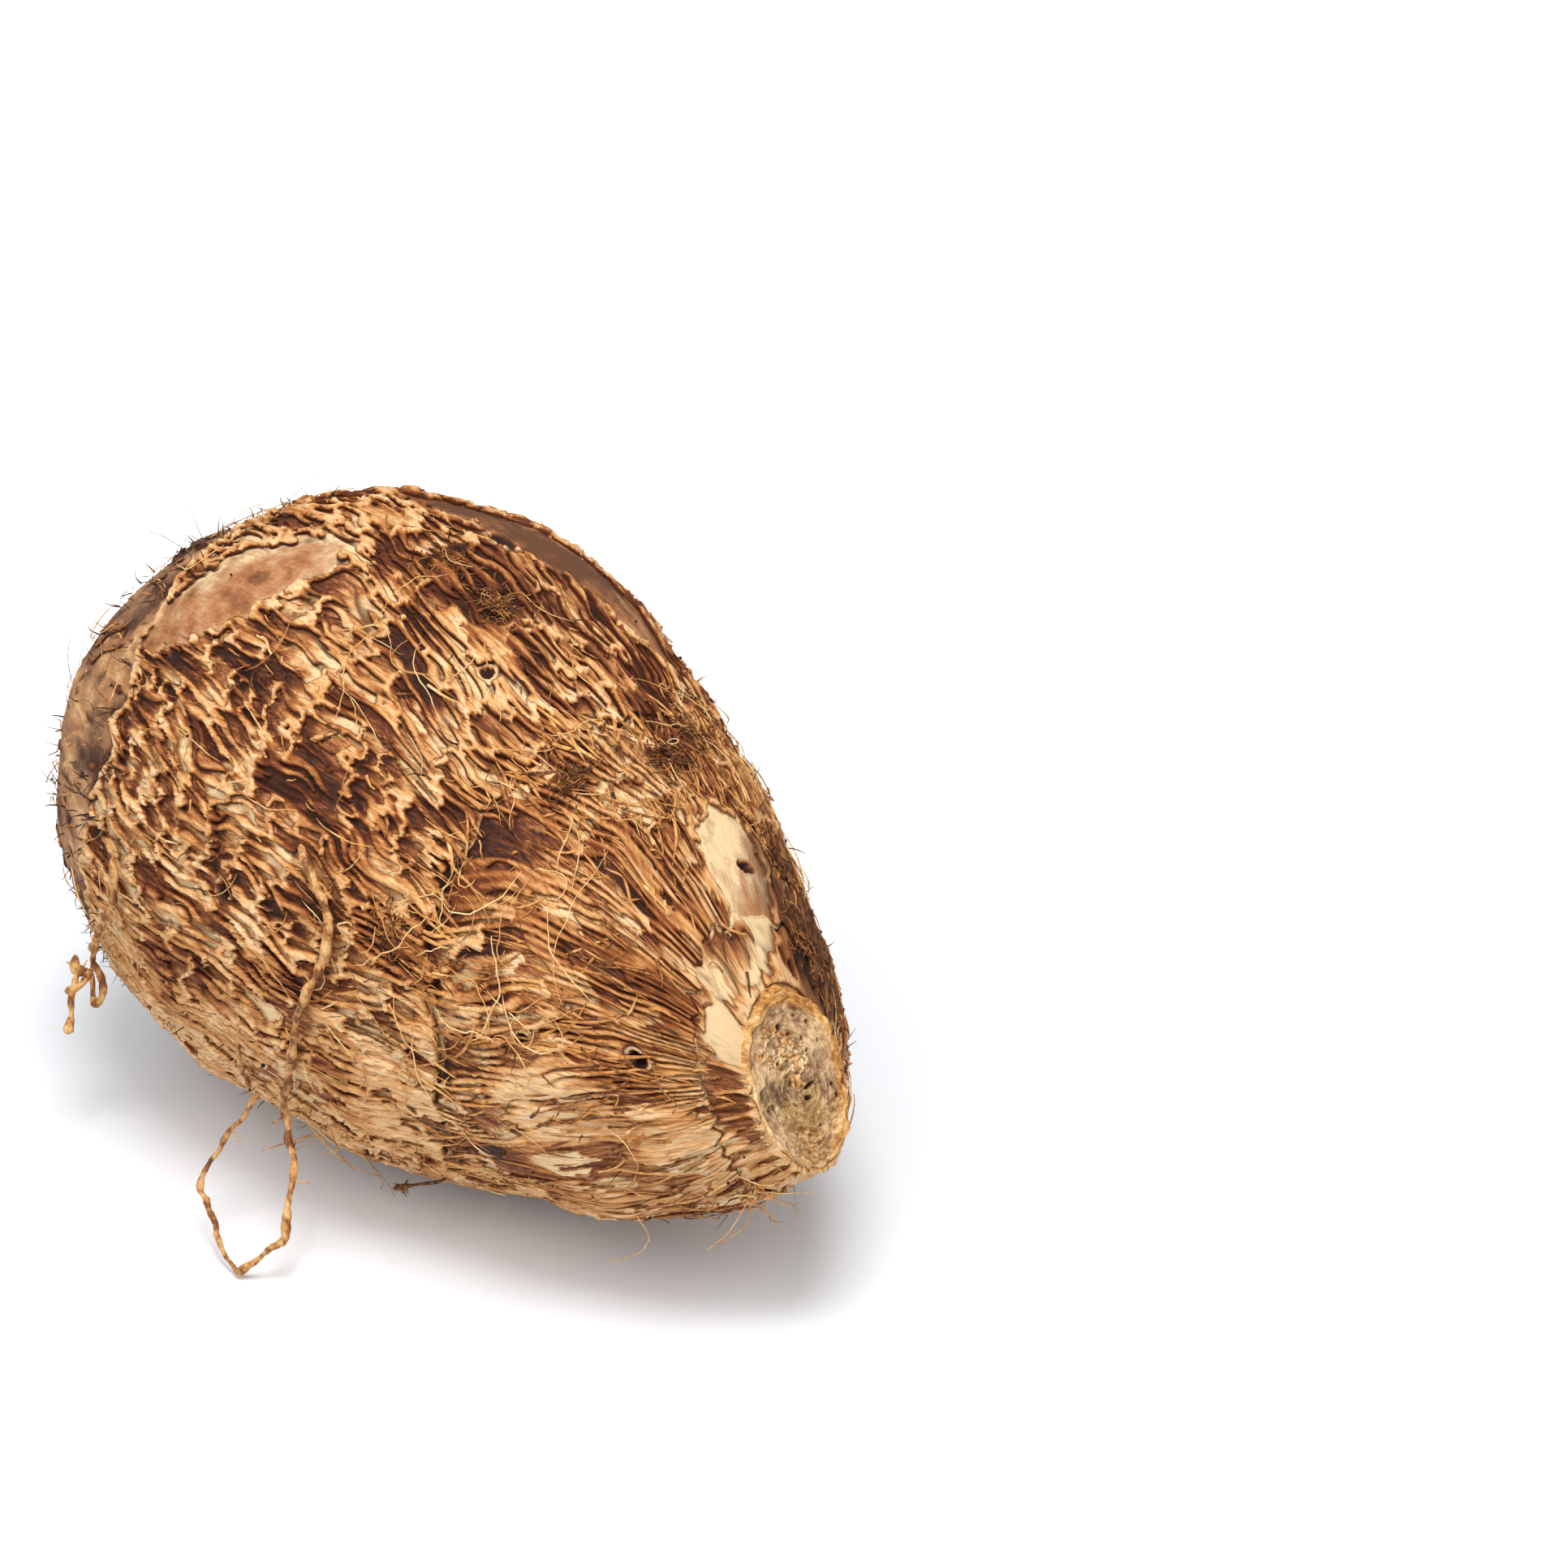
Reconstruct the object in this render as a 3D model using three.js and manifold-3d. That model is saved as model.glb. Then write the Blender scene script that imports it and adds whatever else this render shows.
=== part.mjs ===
// A taro corm as dug, trimmed and dried: one egg-shaped body with a knife-cut neck, lying on its side,
// and the two dead roots that still stand clear of its skin.
// Millimetres, +Z up. The neck points along +X and the corm rests on a small flat at Z = 0.
import * as THREE from "three";
import { mergeVertices } from "three/addons/utils/BufferGeometryUtils.js";
import Module from "manifold-3d";

const wasm = await Module();
wasm.setup();

// ---- Driving dimensions -------------------------------------------------------------------------

// The corm's outline: [distance along its axis, radius], from the base to a point past the cut neck.
const OUTLINE = [
  [0, 0],
  [1.8, 14],
  [10.5, 37.2],
  [25.4, 46],
  [44.8, 52.5],
  [67.2, 54],
  [89.6, 53],
  [112, 46.4],
  [131.4, 40],
  [149.3, 29.8],
  [171.7, 6.4],
];
const NECK = 149.3; // where along the axis the neck's bend is measured
const AXIS_RISE = 4.75; // degrees that the axis climbs towards the neck
const OVAL = 0.03; // the section is taller than it is wide by twice this share
const NECK_DROP = [6.8, 10.7]; // square and cube terms of the neck's bend down
const NECK_DRIFT = 9.4; // cube term of the neck's bend towards -Y

// Low swellings: share of the radius, distance along the axis as a share of NECK, angle, and their spreads.
const SWELLINGS = [
  { height: 0.08, along: 0.45, angle: 73, length: 0.22, width: 50 },
  { height: -0.15, along: 0.98, angle: 26, length: 0.2, width: 45 },
];

// Old leaf scars ring the corm as low grooves.
const LEAF_SCARS = [40, 117, 146]; // distances along the axis
const SCAR_DEPTH = 0.9;
const SCAR_WIDTH = 3; // half the width of a groove

const CUT = { along: 161, turn: -1.5, lift: 24 }; // where the knife's plane meets the axis, and its normal
const REST_DEPTH = 1; // how deep the resting flat is pressed into the belly

const RINGS = 70; // sections along the corm
const SIDES = 48; // points round each section
const POINT = 1; // how far past the last section the whole shape comes to its point

// Root points count X and Y from the middle of the corm's box, and Z from its resting flat.
const ROOT_SIDES = 8;
const ROOT_STEP = 3; // spacing of a root's sections, in radii

// The long root runs down the belly, hangs to the ground and comes back up in one loose loop.
const LOOPED_ROOT = {
  radius: 1,
  path: [
    [4.8, -48.6, 78], [8.4, -49.6, 73.6], [11.1, -50.3, 70.1], [13.1, -51, 66.5], [13.2, -51.9, 62],
    [11.3, -52.9, 58], [9.1, -53.6, 53.6], [7.5, -53.6, 50.4], [5.7, -53.4, 45.2], [3.7, -52.6, 39.7],
    [-0.1, -50.8, 33], [-2.4, -49.4, 27], [-1.8, -49.5, 23.6], [-0.6, -50.4, 21.3], [2, -51.8, 19],
    [3, -53.6, 16.3], [4.3, -55.6, 13.2], [5.5, -57.4, 10.6], [6, -58.8, 8.5], [3.3, -60.7, 5.4],
    [0.5, -62.4, 2.6], [-1.2, -63.3, 1.2], [-4.6, -62.5, 2.2], [-8, -61.1, 4.1], [-11.1, -59.7, 6.2],
    [-14, -58.4, 8.3], [-16, -57.7, 9.4], [-16.5, -55.7, 12.2], [-15, -53.6, 15.6], [-14.4, -51.8, 18.5],
    [-12.2, -50, 21.8], [-11.2, -49, 24.2], [-9.6, -48.6, 26.2],
  ],
};

// The short root leaves the skin at the base end and breaks up into stubs and a small ring.
const BRANCHED_ROOT = {
  run: {
    radius: 0.8,
    path: [
      [-41.7, -51.2, 64.7], [-38.7, -52.4, 61], [-39.1, -52.6, 57.2], [-42, -52.1, 51.6],
      [-47.6, -50.3, 44.9], [-53.8, -46.6, 38.4], [-56.2, -45.3, 34.6], [-56.6, -45.8, 32.2],
    ],
  },
  stub: {
    radius: 0.8,
    path: [[-56.4, -45.4, 32.8], [-57.2, -47, 30.6], [-58.2, -48.3, 29.6], [-59.6, -49.6, 29]],
  },
  bud: {
    radius: 0.7,
    path: [[-56.6, -45.6, 32.4], [-57.8, -46.4, 32.2], [-59.1, -47.2, 32.8], [-59.6, -46.6, 35.2]],
  },
  stick: {
    radius: 0.7,
    path: [[-58.4, -47.2, 32], [-58.2, -48.4, 28.8], [-57.6, -50, 25.6], [-57, -51.6, 22.2]],
  },
  ring: {
    radius: 0.7,
    path: [
      [-56.5, -45.9, 32.4], [-56, -46.4, 30.6], [-55.2, -47, 28.6], [-54.2, -47.2, 27.4],
      [-53.2, -46.8, 28], [-53, -46.2, 30.2], [-54, -45.8, 32.6], [-56, -45.5, 34.2],
    ],
  },
};

// ---- Helpers ------------------------------------------------------------------------------------

const radians = THREE.MathUtils.degToRad;

// A closed three.js geometry as a manifold-3d solid.
function solidOf(geometry) {
  const bare = geometry.clone();
  bare.deleteAttribute("normal");
  bare.deleteAttribute("uv");
  const merged = mergeVertices(bare, 1e-4);
  return new wasm.Manifold(
    new wasm.Mesh({
      numProp: 3,
      vertProperties: new Float32Array(merged.attributes.position.array),
      triVerts: new Uint32Array(merged.index.array),
    }),
  );
}

// A manifold-3d solid as a three.js geometry.
function geometryOf(solid) {
  const mesh = solid.getMesh();
  const geometry = new THREE.BufferGeometry();
  geometry.setAttribute("position", new THREE.BufferAttribute(mesh.vertProperties, 3));
  geometry.setIndex(new THREE.BufferAttribute(mesh.triVerts, 1));
  geometry.computeVertexNormals();
  return geometry;
}

// A shape's surface from rings of points, closed by a point at each end.
function closedTube(rings, start, end) {
  const sides = rings[0].length;
  const points = [start, ...rings.flat(), end];
  const last = points.length - 1;
  const at = (ring, side) => 1 + ring * sides + (side % sides);
  const faces = [];
  for (let side = 0; side < sides; side++) {
    faces.push(0, at(0, side + 1), at(0, side));
    faces.push(last, at(rings.length - 1, side), at(rings.length - 1, side + 1));
    for (let ring = 0; ring < rings.length - 1; ring++) {
      const [a, b] = [at(ring, side), at(ring, side + 1)];
      const [c, d] = [at(ring + 1, side + 1), at(ring + 1, side)];
      faces.push(a, b, c, a, c, d);
    }
  }
  return new THREE.BufferGeometry().setFromPoints(points).setIndex(faces);
}

// ---- The corm -----------------------------------------------------------------------------------

const axis = new THREE.Vector3(Math.cos(radians(AXIS_RISE)), 0, Math.sin(radians(AXIS_RISE)));
const across = new THREE.Vector3(0, 1, 0);
const above = new THREE.Vector3(-axis.z, 0, axis.x);

// The middle of the corm's section at a distance along its axis.
function spineAt(along) {
  const share = along / NECK;
  const drop = NECK_DROP[0] * share ** 2 + NECK_DROP[1] * share ** 3;
  return new THREE.Vector3()
    .addScaledVector(axis, along)
    .addScaledVector(across, -NECK_DRIFT * share ** 3)
    .addScaledVector(above, -drop);
}

// How much wider the section is than the outline, at a distance along the axis and an angle from +Y.
function fullness(along, angle) {
  let share = 1 - OVAL * Math.cos(2 * angle);
  for (const s of SWELLINGS) {
    const offset = angle - radians(s.angle);
    const turn = Math.atan2(Math.sin(offset), Math.cos(offset)) / radians(s.width);
    const reach = (along / NECK - s.along) / s.length;
    share += s.height * Math.exp(-reach * reach - turn * turn);
  }
  return share;
}

// How far the leaf scars are sunk into the skin at a distance along the axis.
function scarAt(along) {
  const bites = LEAF_SCARS.map((scar) => Math.exp(-(((along - scar) / SCAR_WIDTH) ** 2)));
  return SCAR_DEPTH * Math.max(...bites);
}

function cormSolid() {
  const outline = new THREE.CatmullRomCurve3(OUTLINE.map(([x, r]) => new THREE.Vector3(x, r, 0)));
  const rings = outline.getPoints(RINGS).slice(1).map(({ x: along, y: radius }) =>
    Array.from({ length: SIDES }, (_, side) => {
      const angle = (2 * Math.PI * side) / SIDES;
      const reach = radius * fullness(along, angle) - scarAt(along);
      return spineAt(along)
        .addScaledVector(across, reach * Math.cos(angle))
        .addScaledVector(above, reach * Math.sin(angle));
    }),
  );
  const tip = spineAt(OUTLINE.at(-1)[0] + POINT);
  return solidOf(closedTube(rings, spineAt(0), tip));
}

// A big block whose face at its own -X end lies on a plane, to cut away what is past that plane.
function blockPast(point, normal) {
  const size = 400;
  const block = new THREE.BoxGeometry(size, size, size);
  block.translate(size / 2, 0, 0);
  block.applyQuaternion(new THREE.Quaternion().setFromUnitVectors(new THREE.Vector3(1, 0, 0), normal));
  block.translate(point.x, point.y, point.z);
  return solidOf(block);
}

const cutNormal = new THREE.Vector3(
  Math.cos(radians(CUT.lift)) * Math.cos(radians(CUT.turn)),
  Math.cos(radians(CUT.lift)) * Math.sin(radians(CUT.turn)),
  Math.sin(radians(CUT.lift)),
);
const cutPoint = axis.clone().multiplyScalar(CUT.along);
const whole = cormSolid();
const restHeight = whole.boundingBox().min[2] + REST_DEPTH;
const corm = whole
  .subtract(blockPast(cutPoint, cutNormal))
  .subtract(blockPast(new THREE.Vector3(0, 0, restHeight), new THREE.Vector3(0, 0, -1)));

// ---- The roots ----------------------------------------------------------------------------------

// A round root of one thickness along a smooth curve.
function rootSolid({ radius, path }) {
  const curve = new THREE.CatmullRomCurve3(path.map((point) => new THREE.Vector3(...point)));
  const section = new THREE.Shape();
  section.absarc(0, 0, radius, 0, 2 * Math.PI);
  const steps = Math.ceil(curve.getLength() / (ROOT_STEP * radius));
  const options = { steps, curveSegments: ROOT_SIDES / 2, extrudePath: curve };
  return solidOf(new THREE.ExtrudeGeometry(section, options));
}

// ---- The part -----------------------------------------------------------------------------------

const skin = new THREE.MeshStandardMaterial({ color: 0x9a6a3c, roughness: 0.85, metalness: 0 });
const dryRoot = new THREE.MeshStandardMaterial({ color: 0xb98a52, roughness: 0.8, metalness: 0 });

const taro = new THREE.Group();

// Adds a solid to the part as a mesh of its own, and returns that mesh.
function addPiece(name, solid, material) {
  const piece = new THREE.Mesh(geometryOf(solid), material);
  piece.name = name;
  taro.add(piece);
  return piece;
}

// The corm is modelled from its base end, so it is moved to where the roots are given.
const cormBox = corm.boundingBox();
const cormHome = new THREE.Vector3(
  -(cormBox.min[0] + cormBox.max[0]) / 2,
  -(cormBox.min[1] + cormBox.max[1]) / 2,
  -cormBox.min[2],
);
addPiece("corm", corm, skin).position.copy(cormHome);
addPiece("looped_root", rootSolid(LOOPED_ROOT), dryRoot);
const branches = Object.values(BRANCHED_ROOT).map(rootSolid);
addPiece("branched_root", branches.reduce((tree, branch) => tree.add(branch)), dryRoot);

// The part's origin is the middle of its whole box, on the surface it rests on.
const middle = new THREE.Box3().setFromObject(taro).getCenter(new THREE.Vector3());
taro.position.set(-middle.x, -middle.y, 0);

export default taro;
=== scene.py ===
"""Looks of a taro corm: torn bark in two levels, loose fibres, dead roots and a dried knife cut."""
import math

import bmesh
import bpy
import numpy as np
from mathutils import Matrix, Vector
from mathutils.bvhtree import BVHTree


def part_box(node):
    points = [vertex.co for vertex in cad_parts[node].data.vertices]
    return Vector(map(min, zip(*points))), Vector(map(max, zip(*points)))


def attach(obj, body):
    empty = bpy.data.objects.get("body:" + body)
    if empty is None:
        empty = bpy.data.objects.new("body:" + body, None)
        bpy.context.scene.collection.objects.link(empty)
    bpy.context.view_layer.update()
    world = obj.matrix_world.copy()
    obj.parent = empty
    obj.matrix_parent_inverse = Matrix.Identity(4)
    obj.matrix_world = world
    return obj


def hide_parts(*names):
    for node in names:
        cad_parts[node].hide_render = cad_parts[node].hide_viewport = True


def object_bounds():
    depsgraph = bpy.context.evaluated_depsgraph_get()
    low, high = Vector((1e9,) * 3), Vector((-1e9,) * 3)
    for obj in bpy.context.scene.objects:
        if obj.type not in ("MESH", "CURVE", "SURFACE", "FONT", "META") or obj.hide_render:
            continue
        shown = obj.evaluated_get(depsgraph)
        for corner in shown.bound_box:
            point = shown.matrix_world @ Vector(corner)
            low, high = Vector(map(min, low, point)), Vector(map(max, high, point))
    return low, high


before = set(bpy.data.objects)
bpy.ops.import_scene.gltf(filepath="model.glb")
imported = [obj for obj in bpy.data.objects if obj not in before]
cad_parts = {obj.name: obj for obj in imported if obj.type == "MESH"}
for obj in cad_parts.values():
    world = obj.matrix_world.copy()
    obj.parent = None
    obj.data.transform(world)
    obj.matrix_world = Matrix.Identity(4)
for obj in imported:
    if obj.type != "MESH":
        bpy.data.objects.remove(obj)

CAD_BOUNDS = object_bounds()

# ---- Units and driving values --------------------------------------------------------------------
# Lengths are in millimetres until a mesh is made. A place on the skin is given as (way, turn): the
# millimetres along the skin from the middle of the base end towards the neck, and the degrees round
# the corm, from 0 on the +Y side through 90 on top to 180 on the -Y side.
MM = 0.001
SEED = 20

# ---- Small helpers -------------------------------------------------------------------------------


def unit(vectors):
    return vectors / np.linalg.norm(vectors, axis=-1, keepdims=True)


def rows_of(names, rows):
    """A dict for each row, with its values under the names."""
    return [dict(zip(names.split(), row)) for row in rows]


def hump(values, spread=1.0):
    """1 where values are 0, falling away to both sides over a spread."""
    return np.exp(-((values / spread) ** 2))


def smooth_step(low, high, values):
    """0 below low, 1 above high, and an even ease between them. low may be above high."""
    share = np.clip((values - low) / (high - low), 0, 1)
    return share * share * (3 - 2 * share)


def bilinear(table, rows, columns):
    """A table read at places between its rows, and between its columns, which close in a ring."""
    i, j = rows.astype(int), columns.astype(int) % table.shape[1]
    k = (j + 1) % table.shape[1]
    a, b = rows - i, columns - columns.astype(int)
    if table.ndim == 3:
        a, b = a[..., None], b[..., None]
    near = table[i, j] * (1 - b) + table[i, k] * b
    far = table[i + 1, j] * (1 - b) + table[i + 1, k] * b
    return near * (1 - a) + far * a


def add_object(name, data):
    made = bpy.data.objects.new(name, data)
    bpy.context.scene.collection.objects.link(made)
    return made


def add_mesh(name, points, polygons, attributes, material, flat=()):
    """A mesh from points in mm and index arrays, one array for each polygon size. It is shaded
    smooth, apart from the polygons in flat."""
    smooth = np.repeat([True, False], [sum(map(len, polygons)), sum(map(len, flat))])
    polygons = [*polygons, *flat]
    mesh = bpy.data.meshes.new(name)
    mesh.vertices.add(len(points))
    mesh.vertices.foreach_set("co", (np.asarray(points) * MM).astype(np.float32).ravel())
    loops = np.concatenate([p.ravel() for p in polygons]).astype(np.int32)
    sizes = np.concatenate([np.full(len(p), p.shape[1]) for p in polygons])
    starts = np.concatenate([[0], np.cumsum(sizes)[:-1]]).astype(np.int32)
    mesh.loops.add(len(loops))
    mesh.loops.foreach_set("vertex_index", loops)
    mesh.polygons.add(len(sizes))
    mesh.polygons.foreach_set("loop_start", starts)
    mesh.polygons.foreach_set("use_smooth", smooth)
    for label, values in attributes.items():
        kind, field = ("FLOAT_VECTOR", "vector") if values.ndim == 2 else ("FLOAT", "value")
        layer = mesh.attributes.new(label, kind, "POINT")
        layer.data.foreach_set(field, values.astype(np.float32).ravel())
    mesh.update(calc_edges=True)
    mesh.materials.append(material)
    return add_object(name, mesh)


# ---- The skin as a map of (way, turn) ------------------------------------------------------------
MAP_TURNS = 120
MAP_STEP = 0.8  # mm of way between the map's rows
CAP_ROWS = 70  # rows of rays over the round base end
BODY_ROWS = 170  # and along the rest
BASE_SHARE = 0.27  # where along the corm the base end's rays start
WAIST_SHARE = 0.66  # a point the spine passes near
CUT_MARGIN = 0.15  # mm that the last rays stay below the knife cut
SECTION_HALF = 4  # mm of length to each side that count as one section
CUT_FACING = 0.7  # how far the cut's faces point along +X, at least
CUT_FLATNESS = 0.9995  # how nearly the cut's faces point the same way
SMOOTHING = (1, 4, 6, 4, 1)
SMOOTHING_ROUNDS = 3
LAST_CELL = 1.001  # rows back from a table's end to just inside its last cell


def section_middle(points, share):
    """The middle of the corm's section at a share of its length."""
    low, high = points[:, 0].min(), points[:, 0].max()
    x = low + share * (high - low)
    near = points[np.abs(points[:, 0] - x) < SECTION_HALF]
    middle = (near.min(axis=0) + near.max(axis=0)) / 2
    return np.array([x, middle[1], middle[2]])


def knife_cut(mesh):
    """The centre and outward normal of the flat cut at the neck."""
    largest = max((p for p in mesh.polygons if p.normal.x > CUT_FACING), key=lambda p: p.area)
    flat = [p for p in mesh.polygons if p.normal.dot(largest.normal) > CUT_FLATNESS]
    corners = np.array([mesh.vertices[v].co for p in flat for v in p.vertices]) / MM
    middle = (corners.min(axis=0) + corners.max(axis=0)) / 2
    return middle, np.array(largest.normal)


def ray_rows(points, cut_middle, cut_normal):
    """Origin, axis and lift-off angle of each row of rays, from the base end's middle to the cut."""
    start = section_middle(points, BASE_SHARE)
    end = cut_middle - CUT_MARGIN * cut_normal
    bend = 2 * section_middle(points, WAIST_SHARE) - (start + end) / 2
    rows = []
    for share in np.linspace(0, 1, CAP_ROWS, endpoint=False):
        rows.append((start, unit(bend - start), (1 - share) * math.pi / 2))
    for share in np.linspace(0, 1, BODY_ROWS):
        origin = (1 - share) ** 2 * start + 2 * share * (1 - share) * bend + share**2 * end
        tangent = unit((1 - share) * (bend - start) + share * (end - bend))
        axis = unit(tangent + smooth_step(0.5, 1, share) * (cut_normal - tangent))
        rows.append((origin, axis, 0.0))
    return rows


def skin_map():
    """Points of the skin at even steps of way and turn, found with rays onto the CAD corm."""
    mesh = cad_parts["corm"].data
    points = np.array([v.co for v in mesh.vertices]) / MM
    tree = BVHTree.FromPolygons(points.tolist(), [tuple(p.vertices) for p in mesh.polygons])
    cut_middle, cut_normal = knife_cut(mesh)
    angles = np.linspace(0, 2 * math.pi, MAP_TURNS, endpoint=False)
    origins, rays, reach = [], [], []
    for origin, axis, back in ray_rows(points, cut_middle, cut_normal):
        across = unit(np.array([-axis[1], axis[0], 0.0]))
        above = np.cross(axis, across)
        radial = np.cos(angles)[:, None] * across + np.sin(angles)[:, None] * above
        ray = math.cos(back) * radial - math.sin(back) * axis
        hits = [tree.ray_cast(Vector(origin), Vector(r))[3] for r in ray]
        origins.append(origin)
        rays.append(ray)
        reach.append(hits)
    origins, rays, reach = np.array(origins), np.array(rays), np.array(reach, float)
    kernel = np.array(SMOOTHING) / sum(SMOOTHING)
    for _ in range(SMOOTHING_ROUNDS):
        reach = sum(w * np.roll(reach, k - 2, axis=1) for k, w in enumerate(kernel))
        padded = np.pad(reach, ((2, 2), (0, 0)), mode="edge")
        smooth = sum(w * padded[k : k + len(reach)] for k, w in enumerate(kernel))
        reach[2:-2] = smooth[2:-2]
    skin = origins[:, None] + rays * reach[..., None]
    steps = np.linalg.norm(np.diff(skin, axis=0), axis=2).mean(axis=1)
    ways = np.concatenate([[0], np.cumsum(steps)])
    even = np.arange(0, ways[-1], MAP_STEP)
    columns = skin.reshape(len(ways), -1)
    table = np.stack([np.interp(even, ways, c) for c in columns.T], axis=1)
    return even, table.reshape(len(even), MAP_TURNS, 3), cut_middle, cut_normal


WAYS, SKIN, CUT_MIDDLE, CUT_NORMAL = skin_map()
WAY_END = WAYS[-1]


def map_normals():
    """Outward normals of the skin map."""
    round_way = np.roll(SKIN, -1, axis=1) - np.roll(SKIN, 1, axis=1)
    round_way[0] = round_way[1]
    normals = np.cross(round_way, np.gradient(SKIN, axis=0))
    return unit(normals)


NORMALS = map_normals()
RADII = np.linalg.norm(np.roll(SKIN, -1, axis=1) - SKIN, axis=2).sum(axis=1) / (2 * math.pi)


def on_skin(way, turn):
    """Points and outward normals at arrays of way (mm) and turn (degrees)."""
    row = np.clip(np.asarray(way) / MAP_STEP, 0, len(WAYS) - LAST_CELL)
    column = (np.asarray(turn) / 360 * MAP_TURNS) % MAP_TURNS
    return bilinear(SKIN, row, column), unit(bilinear(NORMALS, row, column))


def radius_at(way):
    return np.interp(way, WAYS, RADII)


# ---- Noise on a grid of the skin -----------------------------------------------------------------
PAD = 48  # extra rows, so that noise doesn't join its two ends


def filtered_noise(grid, keep, seed):
    """White noise shaped by keep(cycles per mm along, cycles per mm round), with a spread of 1."""
    rows, columns = grid["ways"].shape
    white = np.random.default_rng([SEED, seed]).standard_normal((rows + PAD, columns))
    along = np.fft.fftfreq(rows + PAD, grid["row_step"])[:, None]
    around = np.fft.rfftfreq(columns, grid["column_step"])[None, :]
    field = np.fft.irfft2(np.fft.rfft2(white) * keep(along, around), s=white.shape)[:rows]
    return field / field.std()


def blobs(grid, length, width, seed):
    """Soft noise with features of a length along the corm and a width round it, in mm."""
    return filtered_noise(grid, lambda u, v: np.exp(-((u * length) ** 2) - (v * width) ** 2), seed)


def labyrinth(grid, spacing, stretch, seed, spread=0.35):
    """Winding ridges a spacing apart in mm, drawn out along the corm by a stretch."""

    def keep(u, v):
        size = np.hypot(u * spacing * stretch, v * spacing)
        return hump(size - 1, spread)

    return filtered_noise(grid, keep, seed)


def stripes(grid, spacing, length, seed, spread=0.28):
    """Wavering ridges that run along the corm, a spacing apart and about a length long, in mm."""

    def keep(u, v):
        return np.exp(-(((v * spacing - 1) / spread) ** 2) - (u * length) ** 2)

    return filtered_noise(grid, keep, seed)


def moved(field, rows, columns):
    """The field read at places moved by that many rows and columns."""
    height, width = field.shape
    row = np.clip(np.arange(height)[:, None] + rows, 0, height - LAST_CELL)
    column = (np.arange(width)[None, :] + columns) % width
    return bilinear(field, row, column)


def waves_noise(points, size, seed, count=24):
    """Soft noise in space with a spread of about 1 and features of about a size."""
    rng = np.random.default_rng([SEED, seed])
    waves = rng.standard_normal((count, 3)) * 2 / size
    phases = rng.uniform(0, 2 * math.pi, count)
    return np.sin(points @ waves.T + phases).sum(axis=-1) * math.sqrt(2 / count)


# ---- Where things are on the skin ----------------------------------------------------------------
# A leaf scar rings the corm. Its way is a level, plus a swell centred on a turn, plus a ragged
# wobble in mm. Its edge is clear round one turn and fades away from it, and its groove is the mm
# that the bark turns down to where it's clear.
LEDGE = {
    "level": 60, "swell": 8, "turn": 158, "spread": 34, "ragged": 1.5, "seed": 31,
    "clear": {"turn": 150, "spread": 80}, "groove": -2.6,
}
CREASE = {
    "level": 153, "swell": 6.5, "turn": 187, "spread": 26, "ragged": 1.0, "seed": 32,
    "clear": {"turn": 198, "spread": 36}, "groove": -2.1,
}
COLLAR = {
    "level": 206, "swell": -8, "turn": 262, "spread": 55, "ragged": 0.7, "seed": 33,
    "clear": {"turn": 190, "spread": 48}, "groove": -1.4,
}
WOBBLE_WAVES = np.arange(4, 46)

# Smooth patches where the torn bark has come off: way, turn, half length and half width in mm,
# slant in degrees of turn for each mm of way, and tone from 0 (brown) to 1 (cream).
BARE_PATCHES = rows_of("way turn length width slant tone", [
    (79, 117, 16.5, 11.5, -0.75, 0.44), (112, 66, 27, 9, -0.45, 0.2),
    (196.5, 78, 13.5, 5.5, 0.1, 0.95), (211.5, 136, 4.5, 4, 0, 0.8),
    (0, 0, 7, 7, 0, 0.3), (118, 300, 13, 8, 0.8, 0.4),
    (150, 8, 15, 6, -0.5, 0.3), (86, 352, 12, 9, 0.6, 0.55),
    (182, 322, 9, 5, -0.4, 0.8),
])

# Zones where the bark is paler (tone above 0) or darker, and more or less covered: way, turn, half
# length and half width in mm. brown is how far the lower skin turns plain brown.
ZONES = rows_of("way turn length width tone cover brown", [
    (132, 106, 10, 7, 0.4, 0.6, 0), (90, 88, 8, 6, 0.2, 0.4, 0),
    (182, 190, 10, 6, 0.7, 2.3, 0), (198, 196, 7, 5, 0.5, 1.6, 0),
    (163, 167, 5, 7, 0.35, 0.8, 0), (190, 174, 9, 3, -0.15, -0.3, 0),
    (175, 140, 12, 7, 0.15, 0.2, 0), (196, 215, 9, 9, 0.15, 0.4, 0),
    (148, 203, 7, 14, 0.5, 1.0, 0), (166, 204, 5, 12, -0.3, -0.2, 0),
    (102, 138, 7, 5, -0.2, -0.35, 0.6), (120, 137, 8, 5, -0.2, -0.35, 0.6),
    (92, 172, 5, 4, -0.3, -0.5, 0.6), (209, 182, 5, 12, 0.1, -1.3, 1),
    (146, 199, 5, 2.2, 0.1, -1.4, 0.9), (115, 208, 6, 2.4, 0.1, -1.3, 0.9),
    (129, 187, 5, 2.5, 0.1, -1.4, 0.9), (138, 176, 5, 2.2, 0.1, -1.3, 0.9),
    (168, 198, 5, 2.8, 0, -1.4, 0.9), (164, 182, 4, 2.4, 0, -1.3, 0.9),
    (100, 190, 5, 2.2, 0.1, -1.3, 0.9), (191, 220, 6, 2.2, 0, -1.3, 0.9),
    (162, 72, 14, 14, -0.3, -0.2, 0), (186, 62, 14, 8, -0.35, -0.2, 0),
    (136, 72, 12, 10, -0.2, 0, 0),
])

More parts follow.
